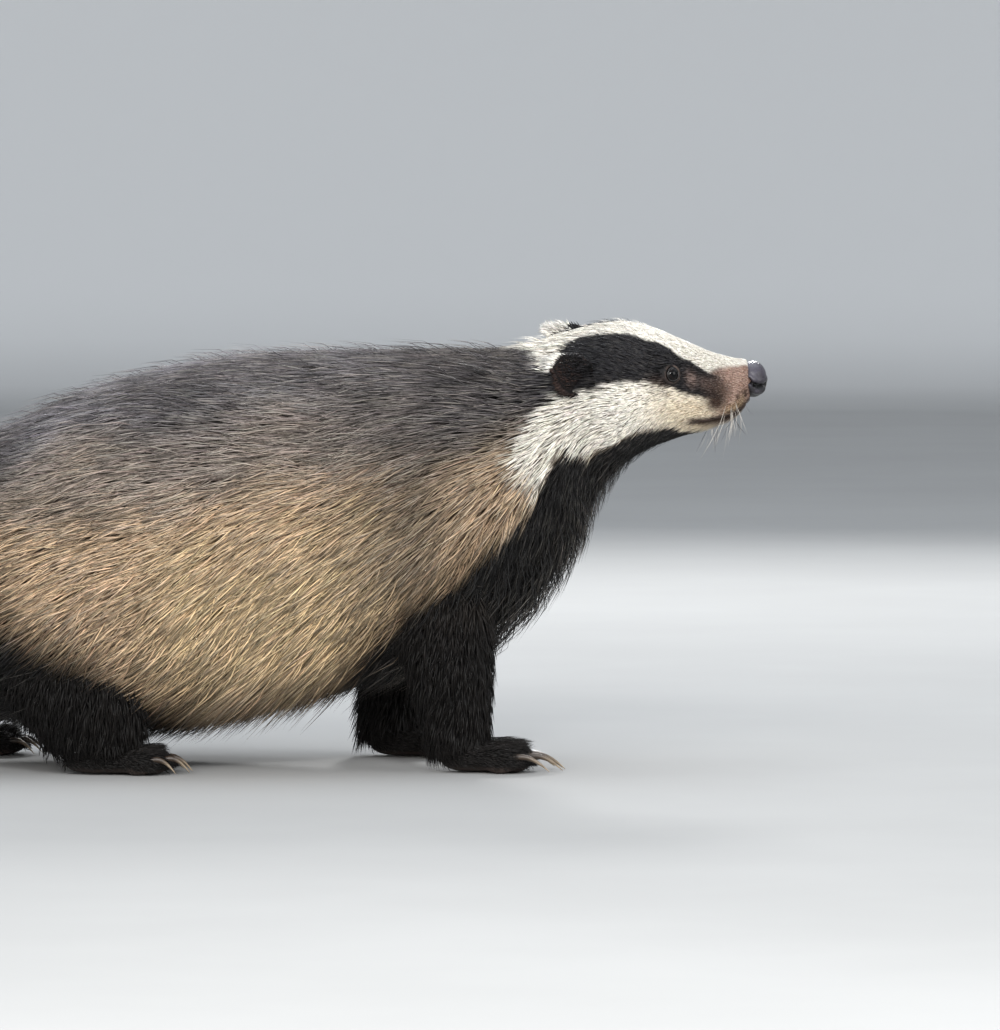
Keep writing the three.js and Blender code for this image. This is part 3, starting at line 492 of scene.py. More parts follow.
# Tones of the hair: root, middle and tip as screen values, and how much single hairs differ.
TONES = {
    "flank": ((148, 120, 94), (208, 178, 145), (242, 219, 188), 1.0),
    "cream": ((164, 136, 102), (224, 196, 154), (248, 228, 194), 0.8),
    "shoulder": ((80, 68, 57), (128, 112, 94), (192, 174, 150), 1.0),
    "upper flank": ((96, 87, 82), (142, 129, 120), (214, 202, 190), 1.0),
    "back": ((84, 80, 80), (106, 102, 106), (212, 210, 216), 1.2),
    "saddle": ((54, 50, 50), (72, 68, 69), (150, 144, 144), 1.0),
    "neck": ((36, 33, 34), (64, 60, 61), (138, 132, 130), 0.9),
    "nape": ((30, 28, 29), (48, 45, 47), (110, 106, 108), 0.7),
    "hem": ((60, 48, 38), (112, 92, 70), (150, 128, 100), 0.6),
    "black": ((11, 10, 10), (17, 16, 16), (40, 38, 38), 0.34),
    "white": ((206, 199, 184), (240, 235, 223), (250, 248, 241), 0.16),
    "warm white": ((186, 166, 138), (232, 214, 184), (247, 236, 214), 0.2),
    "pink": ((126, 98, 84), (164, 134, 120), (202, 178, 164), 0.4),
    "tan": ((112, 90, 68), (164, 138, 110), (206, 186, 158), 0.4),
    "brown": ((40, 30, 26), (62, 46, 38), (92, 72, 60), 0.3),
    "stripe": ((13, 12, 13), (20, 19, 21), (44, 42, 46), 0.15),
    "muted brown": ((64, 50, 46), (128, 107, 100), (164, 144, 136), 0.3),
    "warm brown": ((44, 32, 28), (70, 52, 44), (96, 76, 66), 0.3),
    "lip": ((34, 26, 24), (66, 52, 46), (98, 80, 72), 0.3),
    "chin": ((132, 122, 112), (186, 178, 168), (226, 222, 214), 0.2),
}
# Root, middle and tip of the hair on legs and paws, as linear light.
BLACK_LEG = [linear(13, 11, 10), linear(17, 15, 14), linear(36, 32, 30)]

# Edges of the markings: place along the trunk and side angle. STRIPE_TOP parts the white crown stripe from the
# black stripe through the eye, CHEEK_EDGE that stripe from the white cheek, THROAT_EDGE the cheek and the flank
# from the black of throat, chest and belly, and WHITE_EDGE bounds the white of the crown and of the nose's bridge.
# CHEEK_BACK gives the side angles and the places where the white cheek ends towards the neck.
STRIPE_TOP = [(10.9, 92), (11.5, 80), (11.9, 62), (12.05, 49), (12.3, 41), (12.5, 49), (12.8, 66), (13.2, 72),
              (14.5, 70.5), (15.3, 65), (16.1, 56), (16.8, 49), (17.5, 42), (18.1, 34), (18.7, 24)]
WHITE_EDGE = [(17.9, 36), (18.3, 46), (18.8, 54), (19.4, 60), (20.2, 64)]
CHEEK_EDGE = [(10.3, 4), (10.72, 10), (11.08, 18), (11.56, 24.7), (12.06, 30), (12.63, 26), (13.6, 22),
              (14.3, 20.5), (15.2, 15.5), (16.1, 8), (17.0, 1.7), (17.9, 2), (18.5, -1)]
THROAT_EDGE = [(3.4, -8), (4.0, -16), (4.3, -20), (5.2, -33), (6.0, -52), (6.8, -62), (7.5, -68), (8.1, -70),
               (8.45, -52), (8.8, -39), (9.1, -34), (9.5, -31), (9.7, -29.5), (10.05, -23.5), (10.35, -21),
               (10.6, -17.7), (11.05, -15), (11.4, -9), (11.8, -2.5), (11.95, 0), (12.4, -5), (12.7, -12),
               (13.1, -18.5), (13.8, -20), (14.5, -22.5), (15.15, -27.5), (16.1, -40), (17.0, -62), (17.6, -78),
               (18.0, -95)]
CHEEK_BACK = [(-16, 11.3), (-3.5, 11.1), (4, 10.78), (10, 10.68), (18, 11.0), (25, 11.5), (32, 12.0)]


def edge(table, at):
    """A table's second value at a place, straight between its rows."""
    places, values = np.array(table).T
    return np.interp(at, places, values)


def marking(u, angle, points):
    """The hair's colour at place u and angle: root, middle and tip as linear light, and how much single hairs
    differ. The edges waver with the noise at the points, and each later tone covers the earlier ones by its
    share."""
    side = side_angle(angle)
    far = (np.cos(angle) > 0) * 1.0
    waver = 2.6 * noise(points, 9.0, 3) + 1.6 * noise(points, 3.5, 4)
    wide = 9.0 * noise(points, 46.0, 5) + 6.0 * noise(points, 18.0, 6)
    u = u + 0.10 * noise(points, 14.0, 7)

    def under(table, softness, shift=0.0):
        """1 below an edge and 0 above it, with a soft step between."""
        at = edge(table, u) + shift
        return 1 - smooth(side + waver, at - softness, at + softness)

    broad, half_broad, wavered = side + wide, side + 0.5 * wide, side + waver
    hip = smooth(u, 2.5, 5)
    shoulder_front = smooth(u, 9.1, 9.7) * (1 - smooth(broad, 0, 22))
    cloud, dots = noise(points * np.array([1, 1, 0.6]), 52.0, 9), noise(points, 2.8, 12)
    throat = under(THROAT_EDGE, mix(mix(17, 9, hip), 4, smooth(u, 8.8, 9.4)))
    cheek = (1 - under(THROAT_EDGE, 2.5)) * under(CHEEK_EDGE, 3)
    behind = edge(CHEEK_BACK, side)
    below_crown = under(STRIPE_TOP, 2.2, 12 * far * band(u, 12.4, 13.0, 14.6, 15.8))
    bridge = np.where(u > 18.0, 1 - under(WHITE_EDGE, 7), 1)
    drop = outline(u, np.radians(side), rolled=False)[..., 2] - mouth_height(u)
    layers = [
        ("cream", band(broad, -60, -40, -8, 14) * band(u, 5.4, 6.8, 8.6, 9.8)),
        ("shoulder", smooth(u, 7.8, 9.1) * smooth(broad, -50, -14) * (0.95 - 0.62 * shoulder_front)),
        ("upper flank", smooth(broad + 8 * bell(u, 7.6, 1.3), 12, 38)),
        ("back", smooth(broad, 38, 60)),
        ("saddle", 0.7 * smooth(broad, 30, 52) * smooth(cloud, 0.05, 0.5)),
        ("saddle", 0.9 * bell(u, 6.1, 0.6) * bell(half_broad, 66, 13)),
        ("neck", smooth(u, 7.0, 9.8) * smooth(half_broad, 2, 34)),
        ("saddle", 0.8 * (1 - smooth(u, 1.6, 3.4)) * smooth(broad, 8, 40)),
        ("nape", smooth(u, 10.9, 11.9) * smooth(side, 16, 34)),
        ("hem", 0.8 * under(THROAT_EDGE, mix(17, 13, hip), mix(16, 11, hip)) * (u < 10.4)),
        ("black", throat),
        ("white", cheek * smooth(u + 0.03 * waver, behind - 0.3, behind + 0.25)),
        ("warm white", cheek * smooth(u, 14.2, 16.6) * (0.85 - 0.4 * smooth(side, -10, 10))),
        ("pink", smooth(u, 17.6, 18.7) * (1 - smooth(side, 70, 85))),
        ("tan", band(u, 18.2, 18.8, 19.7, 20.3) * (1 - smooth(side + 2 * waver, -20, 2))),
        ("brown", 1.3 * bell(u, 18.15, 0.4) * bell(wavered, -4, 13)),
        ("brown", 0.85 * smooth(dots, 0.12, 0.4) * smooth(u, 18.2, 18.7) * (1 - smooth(side, -8, 6))),
        ("stripe", (1 - under(CHEEK_EDGE, 2.2)) * below_crown * band(u, 12.0, 12.5, 18.0, 18.7)),
        ("muted brown", bell(u, 17.1, 0.21) * bell(side + 0.5 * waver, 21, 9)),
        ("muted brown", 0.55 * bell(u, 17.85, 0.4) * bell(wavered, 20, 8)),
        ("warm brown", 0.7 * band(u, 17.2, 18.3, 18.5, 19.1) * bell(wavered, 12, 16)),
        ("warm brown", 0.5 * bell(u, 15.9, 0.35) * bell(wavered, 12, 7)),
        ("white", (1 - below_crown) * smooth(u, 10.8, 11.6) * bridge),
        ("lip", band(u, 16.4, 17.1, 20.6, 20.9) * np.exp(-(((drop - 0.2) / 3.7) ** 4))),
        ("chin", smooth(u, 17.6, 18.4) * (1 - smooth(drop, -3.6, -1.9))),
    ]
    hair = [part + np.zeros(np.shape(u))[..., None] for part in tone_parts("flank")]
    for name, share in layers:
        share = np.clip(share, 0, 1)[..., None]
        hair = [mix(below, above, share) for below, above in zip(hair, tone_parts(name))]
    return hair


def tone_parts(name):
    """A tone's three colours as linear light, and how much single hairs differ."""
    *colours, differ = TONES[name]
    return [linear(*colour) for colour in colours] + [np.array([differ])]


def trunk_grid(first, last, rows, columns, detail):
    """Rings of skin from one place to another, with the head's detail where asked, and their u and angle."""
    u = np.linspace(first, last, rows)[:, None] + np.zeros(columns)
    angle = np.linspace(0, 2 * np.pi, columns, endpoint=False) + np.zeros((rows, 1)) - np.pi / 2
    points = skin(u, angle)
    if detail:
        points = points + outline_normal(u, angle) * head_detail(u, angle, points)[..., None]
    return points, u, angle


def leg_rings(side, sections, inset, columns=40, rows=44):
    """Ellipses carried down a leg, inset by the depth of its short hair."""
    t = np.linspace(0, len(sections) - 1, rows)
    x, y, z, reach_x, reach_y = [along([s[k] for s in sections], t)[:, None] for k in range(5)]
    a = np.linspace(0, 2 * np.pi, columns, endpoint=False)
    x = x + (reach_x - inset) * np.cos(a)
    return np.stack([x, side * (y + (reach_y - inset) * np.sin(a)), z + 0 * a], -1)


def ellipsoid(centre, radii, heading=0.0, rows=14, columns=20):
    """Rings of a ball stretched by its radii and turned about Z."""
    v = np.linspace(0.04, np.pi - 0.04, rows)[:, None]
    a = np.linspace(0, 2 * np.pi, columns, endpoint=False)
    x, y, z = np.cos(v) * radii[0] + 0 * a, np.sin(v) * np.cos(a) * radii[1], np.sin(v) * np.sin(a) * radii[2]
    c, s = math.cos(heading), math.sin(heading)
    return np.stack([x * c - y * s, x * s + y * c, z], -1) + np.array(centre)


def toes_of(side, paw):
    """Centre, radii and heading of the five toes, fanned across the front of a paw."""
    toes = []
    for k in range(TOES):
        share = (k - 2) / 2
        back = 7 * share * share + (4 if k == 0 else 0)
        x = paw["heel"][0] + paw["length"] - 13 - back
        y = side * (paw["heel"][1] - share * paw["half"] * 0.82)
        radii = (15, paw["half"] * 0.27, paw["height"] * 0.42)
        toes.append(((x, y, paw["height"] * 0.34), radii, -side * share * 0.16))
    return toes


def paw_parts(side, paw, inset):
    """The sole's loft from the heel forward, the five toes, and the pads under them."""
    t = np.array([0.015, 0.05, 0.12, 0.22, 0.35, 0.5, 0.65, 0.78, 0.88])[:, None]
    a = np.linspace(0, 2 * np.pi, 28, endpoint=False)
    heel = np.sqrt(1 - (1 - np.minimum(t / 0.3, 1)) ** 2)
    wide = paw["half"] * heel * (0.82 + 0.14 * t) - inset * heel
    high = np.where(np.sin(a) > 0, paw["height"] * heel * mix(1.0, 0.55, t) - inset, 7 * heel) * np.sin(a)
    x, y = paw["heel"][0] + paw["length"] * t + 0 * a, side * (paw["heel"][1] + wide * np.cos(a))
    parts = [tube(np.stack([x, y, 7 + high], -1))]
    for centre, radii, heading in toes_of(side, paw):
        inner = tuple(r - inset * 0.6 for r in radii)
        parts.append(tube(ellipsoid(centre, inner, heading)))
        pad = (centre[0] + 1, centre[1], 3.6)
        parts.append(tube(ellipsoid(pad, (8, radii[1] * 0.85, 3.5), heading)))
    palm = (paw["heel"][0] + paw["length"] * 0.5, side * paw["heel"][1], 4.6)
    parts.append(tube(ellipsoid(palm, (11, paw["half"] * 0.72, 4.5))))
    return parts


def welded(parts, size, turns):
    """Closed surfaces grown together by a voxel remesh and softened, given back as corners and triangles."""
    verts, tris = merged(parts)
    mesh = bpy.data.meshes.new("weld")
    mesh.from_pydata(verts.tolist(), [], tris.tolist())
    lump = bpy.data.objects.new("weld", mesh)
    bpy.context.scene.collection.objects.link(lump)
    remesh = lump.modifiers.new("weld", "REMESH")
    remesh.mode, remesh.voxel_size = "VOXEL", size
    soften = lump.modifiers.new("soften", "SMOOTH")
    soften.factor, soften.iterations = 0.5, turns
    done = lump.evaluated_get(bpy.context.evaluated_depsgraph_get()).to_mesh()
    done.calc_loop_triangles()
    corners = np.empty(3 * len(done.vertices), np.float32)
    done.vertices.foreach_get("co", corners)
    faces = np.empty(3 * len(done.loop_triangles), np.int32)
    done.loop_triangles.foreach_get("vertices", faces)
    lump.to_mesh_clear()
    bpy.data.objects.remove(lump)
    bpy.data.meshes.remove(mesh)
    corners = corners.reshape(-1, 3).astype(float)
    corners[:, 2] = np.maximum(corners[:, 2], 0.05)
    return outwards(corners, faces.reshape(-1, 3))


def tail_line(t):
    """The tail's bent middle line and its direction: a quadratic curve through root, bend and tip."""
    a, b, c = [np.array(TAIL[k], float) for k in ("root", "bend", "tip")]
    t = np.asarray(t, float)[..., None]
    return (1 - t) ** 2 * a + 2 * t * (1 - t) * b + t * t * c, unit(2 * (1 - t) * (b - a) + 2 * t * (c - b))


def tail_point(t, angle, depth):
    """A point round the tail: an ellipse across its line, swelling past the middle and closing at the tip."""
    middle, ahead = tail_line(t)
    across = np.array([0.0, 1.0, 0.0])
    up = np.cross(ahead, np.broadcast_to(across, ahead.shape))
    reach = TAIL["radius"] * (0.72 + 0.9 * t - 0.62 * t * t) * np.sqrt(np.clip(1 - t**4, 0, 1))
    reach = np.maximum(reach - depth, 1.5)[..., None]
    return middle + across * reach * 1.15 * np.cos(angle)[..., None] + up * reach * np.sin(angle)[..., None]


def ear_frame(side):
    """The ear's root and its directions along, towards its open face and across."""
    angle = facing(EAR["angle"], side)
    out = outline_normal(np.array(EAR["u"]), np.array(angle))
    c, s = math.cos(HEAD_ROLL), math.sin(HEAD_ROLL)
    stem = unit(np.array([-0.72, -0.62 * s, 0.62 * c]) + 0.3 * out)
    face = out + np.array([0.35, 0, 0])
    face = unit(face - dot(face, stem) * stem)
    return outline(EAR["u"], angle), stem, face, np.cross(stem, face)


def ear_point(side, t, share, front):
    """A point of the ear cup: a crescent across, its width by the root of a sine, its rim rolled round."""
    root, stem, face, across = ear_frame(side)
    swell = np.sqrt(np.clip(np.sin(np.pi * (0.2 + 0.78 * t)), 0, 1))
    wide = EAR["width"] / 2 * swell * mix(0.38, 1, smooth(t, 0, 0.6))
    wide = wide * (1 - (0.42 + 0.34 * (1 - smooth(t, 0.15, 0.6))) * smooth(side * share, 0, 1))
    deep = EAR["cup"] * np.sin(np.pi * (0.25 + 0.68 * t))
    half_wall = EAR["wall"] / 2 * np.sqrt(np.clip(1 - share * share, 0, 1)) * (1 - 0.35 * t)
    lift = deep * share * share - deep + half_wall * (1 if front else -1)
    middle = root + stem * (t * (EAR["length"] + EAR["root"]) - EAR["root"])[..., None]
    middle = middle - face * (15 * (1 - smooth(t, 0.04, 0.52)))[..., None]
    return middle + across * (wide * share)[..., None] + face * lift[..., None]


def ear_shell(side):
    """The ear cup as rings: out over the back and in over the front, closed at the tip."""
    t = np.linspace(0, 0.995, 40)[:, None]
    s = np.sin(np.linspace(-np.pi / 2, np.pi / 2, 30))
    back = ear_point(side, t + 0 * s, s + 0 * t, False)
    front = ear_point(side, t + 0 * s, s[::-1] + 0 * t, True)
    return np.concatenate([back, front[:, 1:-1]], axis=1)


def build_skin():
    """One skin over trunk, head, ears, legs, paws and tail, with the markings' colours at its corners. Gives
    back the skins of the legs."""
    body, body_u, body_a = trunk_grid(0.02, 13.2, 100, 130, False)
    head, head_u, head_a = trunk_grid(12.9, LAST - 0.05, 150, 270, True)
    parts, legs, tones = [], [], []
    for points, u, angle in ((body, body_u, body_a), (head, head_u, head_a)):
        verts, tris = tube(points)
        root, middle, _, _ = marking(u, angle, points)
        colour = mix(root, middle, smooth(u, 12, 14)[..., None])
        for side in (-1, 1):
            x, y, z, ring = eye_view(side, points)
            near = (z > -5) * (u > 13)
            colour = mix(colour, linear(12, 9, 9), (near * (1 - smooth(ring, 1.02, 1.12)))[..., None])
            share = bell(ring, 1.2, 0.09) * near * (0.35 + 0.5 * smooth(0.6 * x - y, -3, 4))
            colour = mix(colour, linear(122, 104, 94), 0.85 * share[..., None])
        colour = colour.reshape(-1, 3)
        parts.append((verts, tris))
        tones.append(np.concatenate([colour, colour[[0, -1]]]))
    for side in (-1, 1):
        verts, tris = tube(ear_shell(side))
        parts.append((verts, tris))
        tones.append(np.tile(linear(24, 18, 17), (len(verts), 1)))
    for side, sections, paw in LEGS.values():
        leg = tube(leg_rings(side, sections, LEG_COAT))
        verts, tris = welded([leg] + paw_parts(side, paw, PAW_COAT), WELD_SIZE, WELD_TURNS)
        legs.append((verts, tris))
        bare = (1 - smooth(verts[:, 2], 2.0, 6.0))[:, None]
        tones.append(mix(BLACK_LEG[0], linear(66, 56, 52), bare))
    parts += legs
    t = np.linspace(0, 0.985, 50)[:, None] + np.zeros(48)
    a = np.linspace(0, 2 * np.pi, 48, endpoint=False) + np.zeros((50, 1))
    verts, tris = tube(tail_point(t, a, TAIL["coat"]))
    parts.append((verts, tris))
    tones.append(np.tile(linear(128, 112, 92), (len(verts), 1)))
    verts, tris = merged(parts)
    hide = mesh_piece("skin", verts, tris, SKIN)
    give_tone(hide, np.concatenate(tones))
    limbs = ("foreleg", "forepaw", "hindleg", "hindpaw", "ear")
    nodes = [f"{limb}_{side}" for limb in limbs for side in ("right", "left")]
    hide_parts("torso", "neck", "head", "tail", *nodes)
    return legs


def build_eyes():
    """Each eye: a ball whose front bulges as the cornea, with an iris ring by the angle from its axis."""
    for name, side in (("right", -1), ("left", 1)):
        centre, out, ahead, up = eye_frame(side)
        v = np.linspace(0.02, np.pi - 0.02, 60)[:, None]
        a = np.linspace(0, 2 * np.pi, 64, endpoint=False)
        reach = EYE["radius"] * (1 + 0.05 * np.exp(-((v / 0.75) ** 4)))
        spoke = np.cos(v)[..., None] * out + (np.sin(v) * np.cos(a))[..., None] * ahead
        spoke = spoke + (np.sin(v) * np.sin(a))[..., None] * up
        verts, tris = tube(centre + spoke * reach[..., None])
        off = np.arccos(np.clip(unit(verts - centre) @ out, -1, 1))[:, None]
        iris = mix(linear(1, 1, 2), linear(18, 12, 10), smooth(off, 0.42, 0.54))
        iris = mix(iris, linear(5, 4, 4), smooth(off, 0.60, 0.72))
        ball = mesh_piece(f"eyeball_{name}", verts, tris, EYES)
        give_tone(ball, iris)
        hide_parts(f"eye_{name}")


def build_lids():
    """A thin rim round each eye: a small circle carried along the almond where the lids meet the ball."""
    parts = []
    for side in (-1, 1):
        centre, out, ahead, up = eye_frame(side)
        a = np.linspace(0, 2 * np.pi, 72, endpoint=False)[:, None]
        x, y = 4.7 * np.cos(a), 4.9 * np.sin(a) * (1 - 0.05 * np.cos(a)) - 0.5 * np.cos(a)
        height = np.sqrt(np.maximum(EYE["radius"] ** 2 - x * x - y * y, 0.5)) + 0.25
        line = centre + x * ahead + y * up + height * out
        spoke = unit(x * ahead + y * up)
        b = np.linspace(0, 2 * np.pi, 10, endpoint=False)
        ring = line[:, None] + 0.45 * (np.cos(b)[:, None] * spoke[:, None] + np.sin(b)[:, None] * out)
        parts.append(hoop(ring))
    verts, tris = merged(parts)
    lids = mesh_piece("eye_rims", verts, tris, RIM)


def hoop(rings):
    """Rings of points joined in turn and the last to the first, so that nothing needs an end."""
    rows, count = rings.shape[:2]
    r, k = np.meshgrid(np.arange(rows), np.arange(count), indexing="ij")
    a, b = r * count + k, r * count + (k + 1) % count
    c, d = (r + 1) % rows * count + k, (r + 1) % rows * count + (k + 1) % count
    tris = np.concatenate([np.stack([a, b, d], -1).reshape(-1, 3), np.stack([a, d, c], -1).reshape(-1, 3)])
    return outwards(rings.reshape(-1, 3), tris)


def build_nose():
    """The nose pad: a rounded block with a comma-shaped nostril on each side and a groove down its middle.
    Its radius falls near the nostrils' line and the groove, and swells between them. Its tone carries painted
    light: a lighter top, a highlight on the lower lobe, and near-black shade in the nostrils and the groove."""
    v = np.linspace(0.02, np.pi - 0.02, 120)[:, None]
    a = np.linspace(0, 2 * np.pi, 144, endpoint=False)
    ball = np.stack([np.cos(v) + 0 * a, np.sin(v) * np.cos(a), np.sin(v) * np.sin(a)], -1)
    p = np.sign(ball) * np.abs(ball) ** 0.93 * (NOSE["reach"], NOSE["half"], (NOSE["up"] + NOSE["down"]) / 2)
    p[..., 1] *= 1 - 0.16 * smooth(-p[..., 2], 2, 12)
    inward = -unit(p)
    depth, swell = np.zeros(p.shape[:-1]), np.zeros(p.shape[:-1])
    for side in (-1, 1):
        line = np.array(NOSTRIL)[:, :3] * (1, side, 1)
        for start, end, (*_, r) in zip(line[:-1], line[1:], NOSTRIL):
            step = end - start
            share = np.clip(((p - start) @ step) / (step @ step), 0, 1)
            away = np.linalg.norm(p - start - share[..., None] * step, axis=-1)
            depth = np.maximum(depth, 5.2 * np.exp(-((away / r) ** 4)) * (r / 2.5) ** 0.6)
            swell = np.maximum(swell, 0.7 * bell(away, 2.0 * r, 1.2))
    x, y, z = np.moveaxis(p, -1, 0)
    groove = 1.3 * bell(y, 0, 0.8) * smooth(-z, -5, 3) * (x > 0)
    depth = depth - swell * (1 - smooth(depth, 0.1, 0.8)) + groove
    # Painted reflection: the pad is lighter towards its top, as if reflecting the sky.
    nose_tone_with_painted_light = mix(linear(20, 17, 19), linear(66, 62, 73), smooth(z - 0.35 * x, -7.5, 4.5)[..., None])
    # Painted highlight on the lower lobe, below the nostril.
    nose_tone_with_painted_light = mix(nose_tone_with_painted_light, linear(66, 62, 72), (bell(x, 3, 3.2) * bell(z, -6.4, 1.9))[..., None])
    # Painted shade: near black in the nostrils and in the groove down the middle, by their depth.
    nose_tone_with_painted_light = mix(nose_tone_with_painted_light, linear(3, 2, 3), smooth(depth, 0.5, 2.0)[..., None]).reshape(-1, 3)
    p = with_head(p + inward * depth[..., None], HEAD_ROLL) + np.array(NOSE["centre"])
    pad = mesh_piece("nose_pad", *tube(p), LEATHER)
    give_tone(pad, np.concatenate([nose_tone_with_painted_light, nose_tone_with_painted_light[[0, -1]]]))
    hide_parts("nose")


def build_claws():
    """Each claw: an ellipse carried along a hook that drops by the square of its length, closing to a point."""
    parts, tones = [], []
    for side, _, paw in LEGS.values():
        for centre, radii, heading in toes_of(side, paw):
            ahead = np.array([math.cos(heading), math.sin(heading), 0.0])
            aside = np.array([-ahead[1], ahead[0], 0.0])
            start = np.array(centre) + ahead * (radii[0] - 7) + np.array([0, 0, 2.5])
            t = np.linspace(0, 0.985, 18)[:, None]
            line = start + ahead * (paw["claw"] + 6) * t
            line = line + np.array([0, 0, 1.0]) * (2.2 * np.sin(np.pi * t) - (start[2] - 1.3) * t * t)
            reach = 2.7 * (1 - t) ** 0.6
            a = np.linspace(0, 2 * np.pi, 12, endpoint=False)
            ring = line[:, None] + (reach * 0.8 * np.cos(a))[..., None] * aside
            ring = ring + (reach * np.sin(a))[..., None] * np.array([0, 0, 1.0])
            verts, tris = tube(ring)
            share = np.concatenate([np.repeat(t[:, 0], 12), [0, 1]])[:, None]
            parts.append((verts, tris))
            tones.append(mix(linear(58, 47, 38), linear(150, 134, 112), smooth(share, 0.35, 1.0)))
    claws = mesh_piece("claws", *merged(parts), HORN)
    give_tone(claws, np.concatenate(tones))
    feet = [f"{end}claw_{side}" for end in ("fore", "hind") for side in ("right", "left")]
    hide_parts(*[f"{foot}_{k + 1}" for foot in feet for k in range(TOES)])


RNG = np.random.default_rng(11)
# The share of the tufts that is grown, and the most triangles of one piece of the coat.
DENSITY = 1.0
MOST_TRIANGLES = 190000
# The side of the patch that a tuft has on the map OFBake.
PATCH = 0.003


def uneven(count, least=0.7, spread=0.6):
    """Random shares from least to least plus spread."""
    return least + spread * RNG.random(count)


def tripled(colours, count):
    """The same root, middle and tip colour for each of count tufts."""
    return np.stack([np.tile(colour, (count, 1)) for colour in colours], 1)


def trunk_map(u, angle):
    """The place on the coat's map of a place on the trunk: u across its first 62 percent, the angle up it."""
    turn = np.mod(angle + np.pi / 2, 2 * np.pi) / (2 * np.pi)
    return np.stack([u / LAST * 0.62 + 0.005, turn * 0.99 + 0.005], -1)


def lie(u, side):
    """The way the coat lies: back along the spine, falling more steeply down the flanks and the front of the
    chest, and back along the face."""
    low = -np.sin(np.radians(side))
    chest = smooth(u, 9, 11) * smooth(low, -0.3, 0.6) * (1 - smooth(u, 12.6, 14.5))
    body = mix(5, 48, smooth(low, -0.95, 0.5)) + 38 * chest
    head = mix(-4, 26, smooth(low, -0.7, 0.7)) * (1 - smooth(u, 16, 18))
    fall = np.radians(mix(body, head, smooth(u, 12.5, 14.5)))
    return np.stack([-np.cos(fall), 0 * fall, -np.sin(fall)], -1)


def step_along(u, angle, way, length):
    """Where a step of that length leads on the skin: the step's share along u and round, by least squares."""
    at = np.clip(u, 0.15, LAST - 0.15)
    by_u = (skin(at + 0.05, angle) - skin(at - 0.05, angle)) / 0.1
    by_a = (skin(at, angle + 0.05) - skin(at, angle - 0.05)) / 0.1
    out = outline_normal(at, angle)
    step = unit(way - dot(way, out) * out) * length[..., None]
    uu, aa, ua = dot(by_u, by_u), dot(by_a, by_a), dot(by_u, by_a)
    su, sa = dot(step, by_u), dot(step, by_a)
    det = uu * aa - ua * ua
    new_u = u + ((su * aa - sa * ua) / det)[..., 0]
    return np.clip(new_u, 0.03, LAST - 0.1), angle + ((sa * uu - su * ua) / det)[..., 0]


def clump_pull(points, size, seed):
    """For each point the way to the nearest of a set of jittered centres, one in each cell of that size."""
    cell = np.floor(points / size).astype(np.int64)
    best = np.full(len(points), np.inf)
    pull = np.zeros_like(points)
    for dx in (-1, 0, 1):
        for dy in (-1, 0, 1):
            for dz in (-1, 0, 1):
                c = cell + np.array([dx, dy, dz])
                jitter = np.stack([scattered(c[:, 0], c[:, 1], c[:, 2], seed + k) for k in range(3)], -1)
                away = (c + jitter) * size - points
                dist = np.sum(away * away, axis=-1)
                closer = dist < best
                best = np.where(closer, dist, best)
                pull = np.where(closer[:, None], away, pull)
    return pull


def sampled_trunk(first, last, per_cm2, rows=400, columns=300):
    """Random places on the trunk, as many to each square centimetre as per_cm2 of u and side angle asks for."""
    u = np.linspace(first, last, rows + 1)
    a = np.linspace(-np.pi, np.pi, columns + 1)
    mid_u, mid_a = np.meshgrid((u[1:] + u[:-1]) / 2, (a[1:] + a[:-1]) / 2, indexing="ij")
    corners = skin(*np.meshgrid(u, a, indexing="ij"))
    by_u, by_a = corners[1:, :-1] - corners[:-1, :-1], corners[:-1, 1:] - corners[:-1, :-1]
    area = np.linalg.norm(np.cross(by_u, by_a), axis=-1) / 100
    wanted = (area * per_cm2(mid_u, side_angle(mid_a)) * DENSITY).ravel()
    total = int(wanted.sum())
    cells = RNG.choice(wanted.size, total, p=wanted / wanted.sum())
    u_at = mid_u.ravel()[cells] + (RNG.random(total) - 0.5) * (u[1] - u[0])
    a_at = mid_a.ravel()[cells] + (RNG.random(total) - 0.5) * (a[1] - a[0])
    return u_at, a_at


def sampled_faces(verts, tris, per_cm2):
    """Random places on triangles by area and by per_cm2 at their middles, with the faces' normals there."""
    a, b, c = verts[tris[:, 0]], verts[tris[:, 1]], verts[tris[:, 2]]
    cross = np.cross(b - a, c - a)
    size = np.linalg.norm(cross, axis=-1)
    normals = cross / np.maximum(size, 1e-9)[:, None]
    wanted = size / 200 * per_cm2((a + b + c) / 3, normals) * DENSITY
    total = int(wanted.sum())
    pick = RNG.choice(len(tris), total, p=wanted / wanted.sum())
    s, t = RNG.random((2, total))
    s, t = np.where(s + t > 1, 1 - s, s)[:, None], np.where(s + t > 1, 1 - t, t)[:, None]
    return a[pick] + s * (b - a)[pick] + t * (c - a)[pick], normals[pick]


def tuft_faces(steps):
    """The triangles of a tuft with three corners at each station and one at its tip, and where their corners lie
    on a unit patch: across the tuft and along it."""
    across = (0.0, 1.0, 0.5)
    faces, patch = [(0, 2, 1)], [(0, 0), (0.5, 0), (1, 0)]
    for k in range(steps - 1):
        low, high = 3 * k, 3 * k + 3
        here, there = k / (steps - 1), (k + 1) / (steps - 1)
        for i, j in ((0, 1), (1, 2), (2, 0)):
            if k == steps - 2:
                faces.append((low + i, low + j, high))
                patch += [(across[i], here), (across[j], here), (0.5, 1.0)]
            else:
                faces += [(low + i, low + j, high + j), (low + i, high + j, high + i)]
                patch += [(across[i], here), (across[j], here), (across[j], there)]
                patch += [(across[i], here), (across[j], there), (across[i], there)]
    return np.array(faces), np.array(patch)


